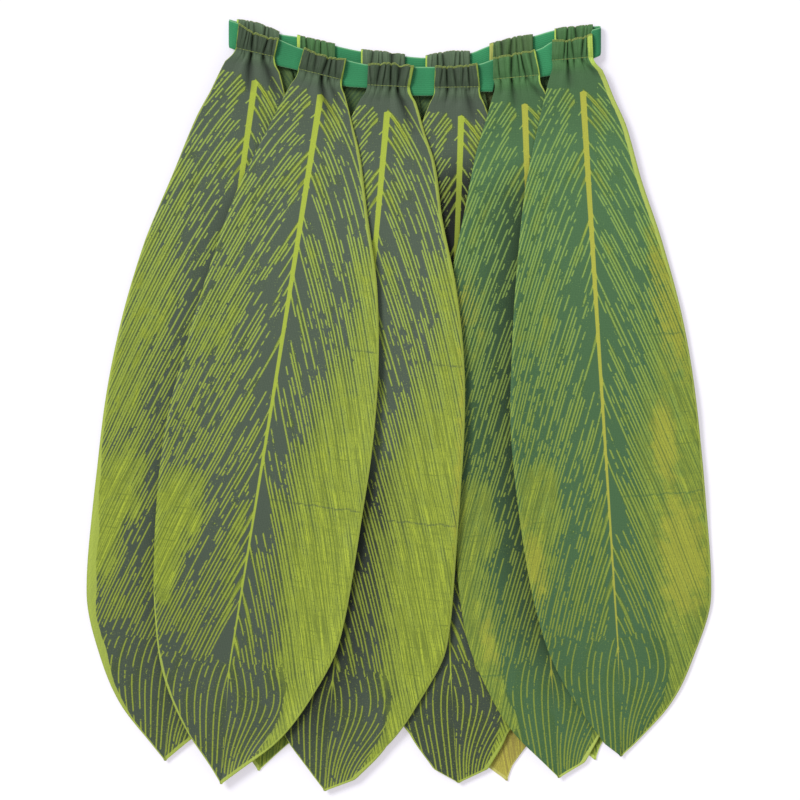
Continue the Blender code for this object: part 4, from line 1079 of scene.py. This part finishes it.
def covers():
    """For each leaf, on the square grid, how much of the cloth round each place is covered by
    leaves that lie on it."""
    share, over = {}, np.zeros(GRID_COUNT[::-1])
    for leaf in reversed(LEAVES):
        blurred = over
        for _ in range(COVER_BLUR):
            blurred = box_sum(blurred) / 9
        share[leaf.node] = blurred
        over = np.maximum(over, TOPS[leaf.node][1])
    return share


def leaf_shade(leaf, t, t_all, held, relief, cover, xy, length):
    """How light the cloth looks and how light its ground is, with painted shade, and how far it is
    drawn together: painted shade in the gathers and creases, a painted highlight where the cloth
    stands up, and a painted shadow beside a leaf that covers it, which darkens the ground most."""
    front, rows = "front" in leaf.node, len(held)
    held = held * (GATHERED_SHADE if front else BACK_SHADE)[leaf.dye]
    # Painted shade in the creases and a painted highlight where the cloth stands up, then the
    # painted shade of the casing's gathers carried a little way below the stitching
    painted_shading = 1.0 - 0.66 * np.clip(-relief / 2.0, 0, 1) ** 0.8 + 0.10 * np.clip(relief / 1.2, 0, 1)
    painted_shading = painted_shading - (1 - held[-1:]) * np.exp(-t * length / 2.5)[:, None]
    # A painted shadow beside a leaf that covers it, from the blurred cover moved a little to one
    # side
    dim = abs(leaf.dim) * sample(cover, xy + COVER_SHIFT * np.sign(leaf.dim))
    along = t[:, None]
    dim = np.minimum(dim, MOST_PAINTED_SHADOW) * (smooth(along, leaf.dim_from - 0.04, leaf.dim_from + 0.04)
                                       * smooth(along, leaf.dim_to + 0.08, leaf.dim_to - 0.08))
    painted_shading = np.maximum(painted_shading, 0.2) * (1 - 0.4 * dim)
    if not front:
        # A back leaf gets painted shade high up, where it shows in the shaded gaps between the
        # front necks, and is lighter towards its tip
        painted_shading = painted_shading * (1 - 0.42 * smooth(along, 0.5, 0.2)) * (1 + 0.18 * smooth(along, 0.86, 0.95))
    deep = np.interp(t_all, DEPTH_AT, GROUND_DEPTH[leaf.dye])
    deep = deep * (1 + (leaf.depth - 1) * smooth(t_all, 0.1, 0.4))
    # The depth field is the ground's lightness along the leaf times the painted shadow beside a
    # covering leaf
    return {"shade": np.concatenate([held, painted_shading[1:]]),
            "depth": deep * np.concatenate([np.ones((rows, xy.shape[1])), 1 - dim[1:]]),
            "drawn": 1 - smooth(t_all * length, 2.0, 14.0)}


def leaf_grid(leaf, sizes, cover):
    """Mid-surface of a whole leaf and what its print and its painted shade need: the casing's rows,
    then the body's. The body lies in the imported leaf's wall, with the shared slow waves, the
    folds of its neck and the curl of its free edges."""
    front = "front" in leaf.node
    u = columns_of(leaf.node, FRONT_COLUMNS if front else BACK_COLUMNS)
    t = FRONT_ROWS if front else BACK_ROWS
    along = t[:, None]
    depth = sizes.gather_depth / MM
    gathered, up = casing_grid(leaf.node, u, depth)
    xy, wide, length = body_plan(leaf, t, u)
    z = sample(TOPS[leaf.node][0], xy) - WALL / 2
    stitch = FRONT_STITCH_Z if front else BACK_PANEL_Z
    z = stitch + (z - stitch) * smooth(along * length, 0.0, 6.0)
    relief = neck_relief(leaf.node, u, t * length, depth) if front else np.zeros(z.shape)
    left, right = SIDES[leaf.node]
    hem = (1 - np.abs(u)) * np.where(u < 0, wide[-1], wide[1])
    wander = np.sin(17 * along + int(leaf.node[-1])) * np.sin(31 * along + 1.3)
    curl = np.where(u < 0, left.curl, right.curl) * (CURL_MEAN + CURL_STRAY * wander)
    curl = curl * smooth(along, 0.12, 0.3)
    z = z + relief + curl * hump(hem, 0.0, CURL_REACH, 1.5)
    if front:
        z = z + TIP_LIFT * smooth(along, 0.93, 1.0)
    body = np.dstack([xy, z + sway(xy, sizes.sway / MM)])
    if front:
        gathered[-1] = body[0]
    else:
        body[0] = gathered[-1]
    rows = len(gathered)
    t_all = np.concatenate([-up / length, np.broadcast_to(along[1:], (len(t) - 1, len(u)))])
    wide_all = {hand: np.concatenate([np.broadcast_to(w[:1], (rows, 1)), w[1:]])
                for hand, w in wide.items()}
    fields = print_fields(leaf, t_all, np.broadcast_to(u, t_all.shape), wide_all, length)
    # Painted shade and highlight across the casing's gathers
    held = gather_shade(leaf.node, slanted(leaf.node, u[None], up / up.max()))
    fields.update(leaf_shade(leaf, t, t_all, held, relief, cover, xy, length))
    return np.concatenate([gathered, body[1:]]), fields


def lay_leaf(leaf, sizes, dyes, cover):
    """One leaf as a closed shell of two materials, printed outside and plain inside."""
    front = "front" in leaf.node
    grid, fields = leaf_grid(leaf, sizes, cover)
    normal = grid_normals(grid) * (1 if front else -1)
    GRIDS[leaf.node] = (grid, normal)
    points, faces, outer = shell(grid, normal, sizes.cloth_thickness / MM)
    if not front:
        faces = faces[:, ::-1]
    uv = np.stack([fields["off"], fields["down"]], axis=-1).reshape(-1, 2)
    keep = {key: np.tile(fields[key].ravel(), 2) for key in PRINT_FIELDS}
    which = np.repeat((0, 1, 0), (outer, outer, len(faces) - 2 * outer))
    piece = new_piece(leaf.node + "_cloth", points, faces, dyes[leaf.dye], which, keep,
                      np.tile(uv, (2, 1)))
    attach(piece, "root")
    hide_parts(leaf.node)
    return piece


def run_of(path):
    """How far along a line each of its points lies."""
    return np.concatenate([[0], np.cumsum(np.linalg.norm(np.diff(path, axis=0), axis=1))])


def elastic_path():
    """The closed line that the middle of the elastic follows, seen from its edge, as x and z: out
    along the front, round the right fold, back along the rear and round the left fold."""
    inner_left, inner_right = FOLD_LEFT + FOLD_RADIUS, FOLD_RIGHT - FOLD_RADIUS
    middle, radius = (FRONT_ELASTIC_Z + BACK_ELASTIC_Z) / 2, (FRONT_ELASTIC_Z - BACK_ELASTIC_Z) / 2
    x = np.linspace(inner_left, inner_right, BAND_STATIONS)
    turn = np.linspace(pi / 2, -pi / 2, TURN_STATIONS)[1:-1]
    out, rise = FOLD_RADIUS * np.cos(turn), radius * np.sin(turn)
    right = np.column_stack([inner_right + out, middle + rise])
    left = np.column_stack([inner_left - out, middle - rise])
    ahead = np.column_stack([x, np.full(len(x), FRONT_ELASTIC_Z)])
    behind = np.column_stack([x[::-1], np.full(len(x), BACK_ELASTIC_Z)])
    return np.vstack([ahead, right, behind, left])


def band_edges(x, z):
    """Low and high edge of the elastic at places on its path: its full width between the casings
    and bunched up inside them."""
    ahead = smooth(z, BACK_ELASTIC_Z, FRONT_ELASTIC_Z)
    high = front_high(x) * ahead + back_high(x) * (1 - ahead)
    low = front_low(x) * ahead + (back_high(x) - BACK_BAND_WIDTH) * (1 - ahead)
    for row in FRONT_CASINGS + BACK_CASINGS:
        tl, tr, bl, br = casing_of(row.node)
        front_half = z > (BACK_ELASTIC_Z + FRONT_ELASTIC_Z) / 2
        here = front_half if "front" in row.node else ~front_half
        left, right = max(tl[0], bl[0]), min(tr[0], br[0])
        held = np.interp(x, (left, left + BAND_RAMP, right - BAND_RAMP, right), (0, 1, 1, 0)) * here
        low_in = np.interp(x, (bl[0], br[0]), (bl[1], br[1])) + ELASTIC_LOW_INSET
        high_in = np.interp(x, (tl[0], tr[0]), (tl[1], tr[1])) - ELASTIC_HIGH_INSET
        low, high = low + (low_in - low) * held, high + (high_in - high) * held
    return low, high


def thread_elastic(sizes, material):
    """The waist elastic: a flat section with rounded edges, carried round its closed path."""
    path = elastic_path()
    lean = np.roll(path, -1, axis=0) - np.roll(path, 1, axis=0)
    lean = lean / np.linalg.norm(lean, axis=1, keepdims=True)
    out = np.column_stack([-lean[:, 1], lean[:, 0]])
    low, high = band_edges(path[:, 0], path[:, 1])
    across = np.concatenate([ACROSS, ACROSS[::-1]])
    half = sizes.elastic_thickness / MM / 2
    swell = half * np.sqrt(np.clip(1 - (2 * across - 1) ** EDGE_POWER, 0.02, 1))
    swell[len(ACROSS):] *= -1
    y = low[:, None] + (high - low)[:, None] * across
    x = path[:, :1] + out[:, :1] * swell
    z = path[:, 1:] + out[:, 1:] * swell
    stations, around = x.shape
    points = np.stack([x, y, z], axis=-1).reshape(-1, 3)
    ids = np.arange(stations * around).reshape(stations, around)
    ahead, beside = np.roll(ids, -1, axis=0), np.roll(ids, -1, axis=1)
    both = np.roll(ahead, -1, axis=1)
    faces = np.stack([ids, ahead, both, beside], axis=-1).reshape(-1, 4)
    run = run_of(path)
    uv = np.dstack([np.broadcast_to(run[:, None], x.shape), y - low[:, None]]).reshape(-1, 2)
    rim = {"rim": np.minimum(high[:, None] - y, 2.0 * (y - low[:, None]))}
    piece = new_piece("waist_elastic_band", points, faces, [material], fields=rim, uv=uv)
    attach(piece, "root")
    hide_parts("elastic_front", "elastic_back")


def tube(path, radius, sides=6):
    """A tube round a line of points: rings square to the line, joined by quads and closed by its
    last rings drawn in to the line. radius has one value a point."""
    lean = np.gradient(path, axis=0)
    lean /= np.linalg.norm(lean, axis=1, keepdims=True)
    beside = np.cross(lean, (0, 0, 1.0))
    beside /= np.maximum(np.linalg.norm(beside, axis=1, keepdims=True), 1e-9)
    above = np.cross(beside, lean)
    turn = np.arange(sides) * 2 * pi / sides
    ring = (beside[:, None] * np.cos(turn)[:, None] + above[:, None] * np.sin(turn)[:, None])
    points = path[:, None] + ring * radius[:, None, None]
    count = len(path)
    ids = np.arange(count * sides).reshape(count, sides)
    beside_ids = np.roll(ids, -1, axis=1)
    faces = np.stack([ids[:-1], beside_ids[:-1], beside_ids[1:], ids[1:]], axis=-1).reshape(-1, 4)
    run = run_of(path)
    uv = np.dstack(np.broadcast_arrays(run[:, None], turn)).reshape(-1, 2)
    caps = np.concatenate([ids[0, [3, 2, 1, 0]][None], ids[0, [5, 4, 3, 0]][None],
                           ids[-1, [0, 1, 2, 3]][None], ids[-1, [0, 3, 4, 5]][None]])
    return points.reshape(-1, 3), np.concatenate([faces, caps]), uv


def resampled(path, step):
    """A line's points, moved along it to be a step apart."""
    run = run_of(path)
    at = np.linspace(0, run[-1], max(8, int(run[-1] / step)))
    return np.stack([np.interp(at, run, path[:, k]) for k in range(3)], axis=1), at


# Seams of the front and the back casings: the row of the leaf's grid, and how far it stands clear
FOLD_TOP = RISE_ROWS + HEM_ROWS + FOLD_ROWS // 2
LOWER_LINE = RISE_ROWS + HEM_ROWS + FOLD_ROWS + PANEL_ROWS - 1
FRONT_SEAMS = ((FOLD_TOP + 1, 0.25), (FOLD_TOP + 2, 0.20), (FOLD_TOP + 3, 0.15), (LOWER_LINE, 0.02))
BACK_SEAMS = ((FOLD_TOP, 0.25), (RISE_ROWS - 1, 0.15))
THREAD_STEP = 0.5         # between the rings of the thread
STITCH_SINK = 0.3         # how far the thread goes in at the needle's holes
THREAD_LEAST = 0.45       # share of its thickness there


def sew_casings(sizes, material):
    """Stitches over the gathers: a thread on the cloth's surface, thick in the middle of each
    stitch and sunk into the cloth where the needle went."""
    surface = sizes.cloth_thickness / MM / 2
    for name, casings, seams in (("front_stitching", FRONT_CASINGS, FRONT_SEAMS),
                                 ("back_stitching", BACK_CASINGS, BACK_SEAMS)):
        points, faces, uvs, count = [], [], [], 0
        for grid, normal in (GRIDS[casing.node] for casing in casings):
            for row, lift in seams:
                path, run = resampled(grid[row] + normal[row] * (surface + lift), THREAD_STEP)
                beat = np.abs(np.sin(pi * run / (sizes.stitch_length / MM))) ** 0.5
                path[:, 2] -= STITCH_SINK * (1 - beat)
                radius = sizes.thread_radius / MM * (THREAD_LEAST + (1 - THREAD_LEAST) * beat)
                p, f, uv = tube(path, radius)
                points.append(p)
                faces.append(f + count)
                uvs.append(uv)
                count += len(p)
        piece = new_piece(name, np.concatenate(points), np.concatenate(faces), [material],
                          uv=np.concatenate(uvs))
        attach(piece, "root")


DRYNESS = {"slate": 0.35, "green": 0.60, "amber": 0.50}    # how much of the solid print is dry


class LEAFSKIRT_OT_lay_leaves(bpy.types.Operator):
    """Lays the twelve printed leaves, the back ones first"""
    bl_idname = "leaf_skirt.lay_leaves"
    bl_label = "Lay the leaves"

    def execute(self, context):
        sizes, colours = context.scene.leaf_skirt_sizes, context.scene.leaf_skirt_colours
        dyes = {}
        for dye, dryness in DRYNESS.items():
            inks = [getattr(colours, dye + part) for part, *_ in DYE_PARTS]
            label = dye.capitalize() + " printed polyester"
            dyes[dye] = [printed_polyester(label + side, inks, colours.warm_ink, colours.warm_gap,
                                           sizes.vein_width, dryness, reverse)
                         for side, reverse in (("", None), (" reverse", colours.reverse))]
        TOPS.update({leaf.node: top_heights(leaf.node) for leaf in LEAVES})
        cover = covers()
        for leaf in LEAVES:
            piece = lay_leaf(leaf, sizes, dyes, cover[leaf.node])
        return {"FINISHED"}


class LEAFSKIRT_OT_thread_elastic(bpy.types.Operator):
    """Threads the waist elastic through the casings"""
    bl_idname = "leaf_skirt.thread_elastic"
    bl_label = "Thread the elastic"

    def execute(self, context):
        colours = context.scene.leaf_skirt_colours
        thread_elastic(context.scene.leaf_skirt_sizes,
                       knitted_elastic(colours.elastic, colours.elastic_rim))
        return {"FINISHED"}


class LEAFSKIRT_OT_sew_casings(bpy.types.Operator):
    """Sews the lines of stitches across the casings, after the leaves are laid"""
    bl_idname = "leaf_skirt.sew_casings"
    bl_label = "Sew the casings"

    def execute(self, context):
        if not GRIDS:
            raise RuntimeError("lay the leaves before sewing their casings")
        colours = context.scene.leaf_skirt_colours
        sew_casings(context.scene.leaf_skirt_sizes, spun_thread(colours.thread))
        return {"FINISHED"}


# The stage: where the light stands, how soft it is, how bright it and the sky are, and the view
SUN_TOWARDS = (-0.60, 0.44, 0.84)
SUN_SPREAD = 0.40         # radians
SUN_STRENGTH = 2.1
SKY_STRENGTH = 0.60
SKY_COLOUR = (0.97, 0.98, 1.0, 1.0)
FLOOR_REACH, FLOOR_POINTS = 3000.0, 7
FLOOR_GLOW = 0.48
FLOOR_DROP = 0.3
VIEW_CENTRE = (1.03, 4.04)
VIEW_WIDTH = 640.0        # what the picture takes in, in mm
VIEW_LEVEL = 6.0


class LEAFSKIRT_OT_set_stage(bpy.types.Operator):
    """Sets the floor, the light and the camera"""
    bl_idname = "leaf_skirt.set_stage"
    bl_label = "Set the stage"

    def execute(self, context):
        scene, colours = context.scene, context.scene.leaf_skirt_colours
        line = np.linspace(-FLOOR_REACH, FLOOR_REACH, FLOOR_POINTS)
        x, y = np.meshgrid(line, line[::-1])
        grid = np.dstack([x, y, np.full(x.shape, -FLOOR_DROP)])
        ids = np.arange(x.size).reshape(x.shape)
        floor = new_piece("floor", grid.reshape(-1, 3), quads_of(ids),
                          [opal_acrylic(colours.floor, colours.floor_glow)])
        sun = bpy.data.lights.new("studio_key", "SUN")
        sun.energy, sun.angle = SUN_STRENGTH, SUN_SPREAD
        lamp = bpy.data.objects.new("studio_key", sun)
        lamp.rotation_euler = Vector(SUN_TOWARDS).to_track_quat("Z", "Y").to_euler()
        scene.collection.objects.link(lamp)
        world = bpy.data.worlds.new("studio_sky")
        world.use_nodes = True
        sky = world.node_tree.nodes["Background"].inputs
        sky["Color"].default_value, sky["Strength"].default_value = SKY_COLOUR, SKY_STRENGTH
        scene.world = world
        scene.view_settings.view_transform = "Standard"
        data = bpy.data.cameras.new("camera")
        distance = scene.leaf_skirt_sizes.camera_distance
        data.lens = data.sensor_width * distance / (VIEW_WIDTH * MM)
        camera = bpy.data.objects.new("camera", data)
        camera.location = (VIEW_CENTRE[0] * MM, VIEW_CENTRE[1] * MM, distance + VIEW_LEVEL * MM)
        scene.collection.objects.link(camera)
        scene.camera = camera
        return {"FINISHED"}


class LEAFSKIRT_PT_panel(bpy.types.Panel):
    """Lists the steps that build the skirt, with their sizes and colours"""
    bl_idname = "LEAFSKIRT_PT_panel"
    bl_label = "Leaf skirt"
    bl_space_type = "VIEW_3D"
    bl_region_type = "UI"
    bl_category = "Leaf skirt"

    def draw(self, context):
        for step in STEPS:
            self.layout.operator(step.bl_idname)
        for group in (context.scene.leaf_skirt_sizes, context.scene.leaf_skirt_colours):
            for key in group.__annotations__:
                self.layout.prop(group, key)


STEPS = (LEAFSKIRT_OT_lay_leaves, LEAFSKIRT_OT_thread_elastic, LEAFSKIRT_OT_sew_casings,
         LEAFSKIRT_OT_set_stage)
CLASSES = (LeafSkirtSizes, LeafSkirtColours, *STEPS, LEAFSKIRT_PT_panel)


def register():
    for cls in CLASSES:
        bpy.utils.register_class(cls)
    bpy.types.Scene.leaf_skirt_sizes = bpy.props.PointerProperty(type=LeafSkirtSizes)
    bpy.types.Scene.leaf_skirt_colours = bpy.props.PointerProperty(type=LeafSkirtColours)


def unregister():
    del bpy.types.Scene.leaf_skirt_colours
    del bpy.types.Scene.leaf_skirt_sizes
    for cls in reversed(CLASSES):
        bpy.utils.unregister_class(cls)


def main():
    """Registers the add-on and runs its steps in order."""
    register()
    bpy.ops.leaf_skirt.lay_leaves()
    bpy.ops.leaf_skirt.thread_elastic()
    bpy.ops.leaf_skirt.sew_casings()
    bpy.ops.leaf_skirt.set_stage()


if __name__ == "__main__":
    main()
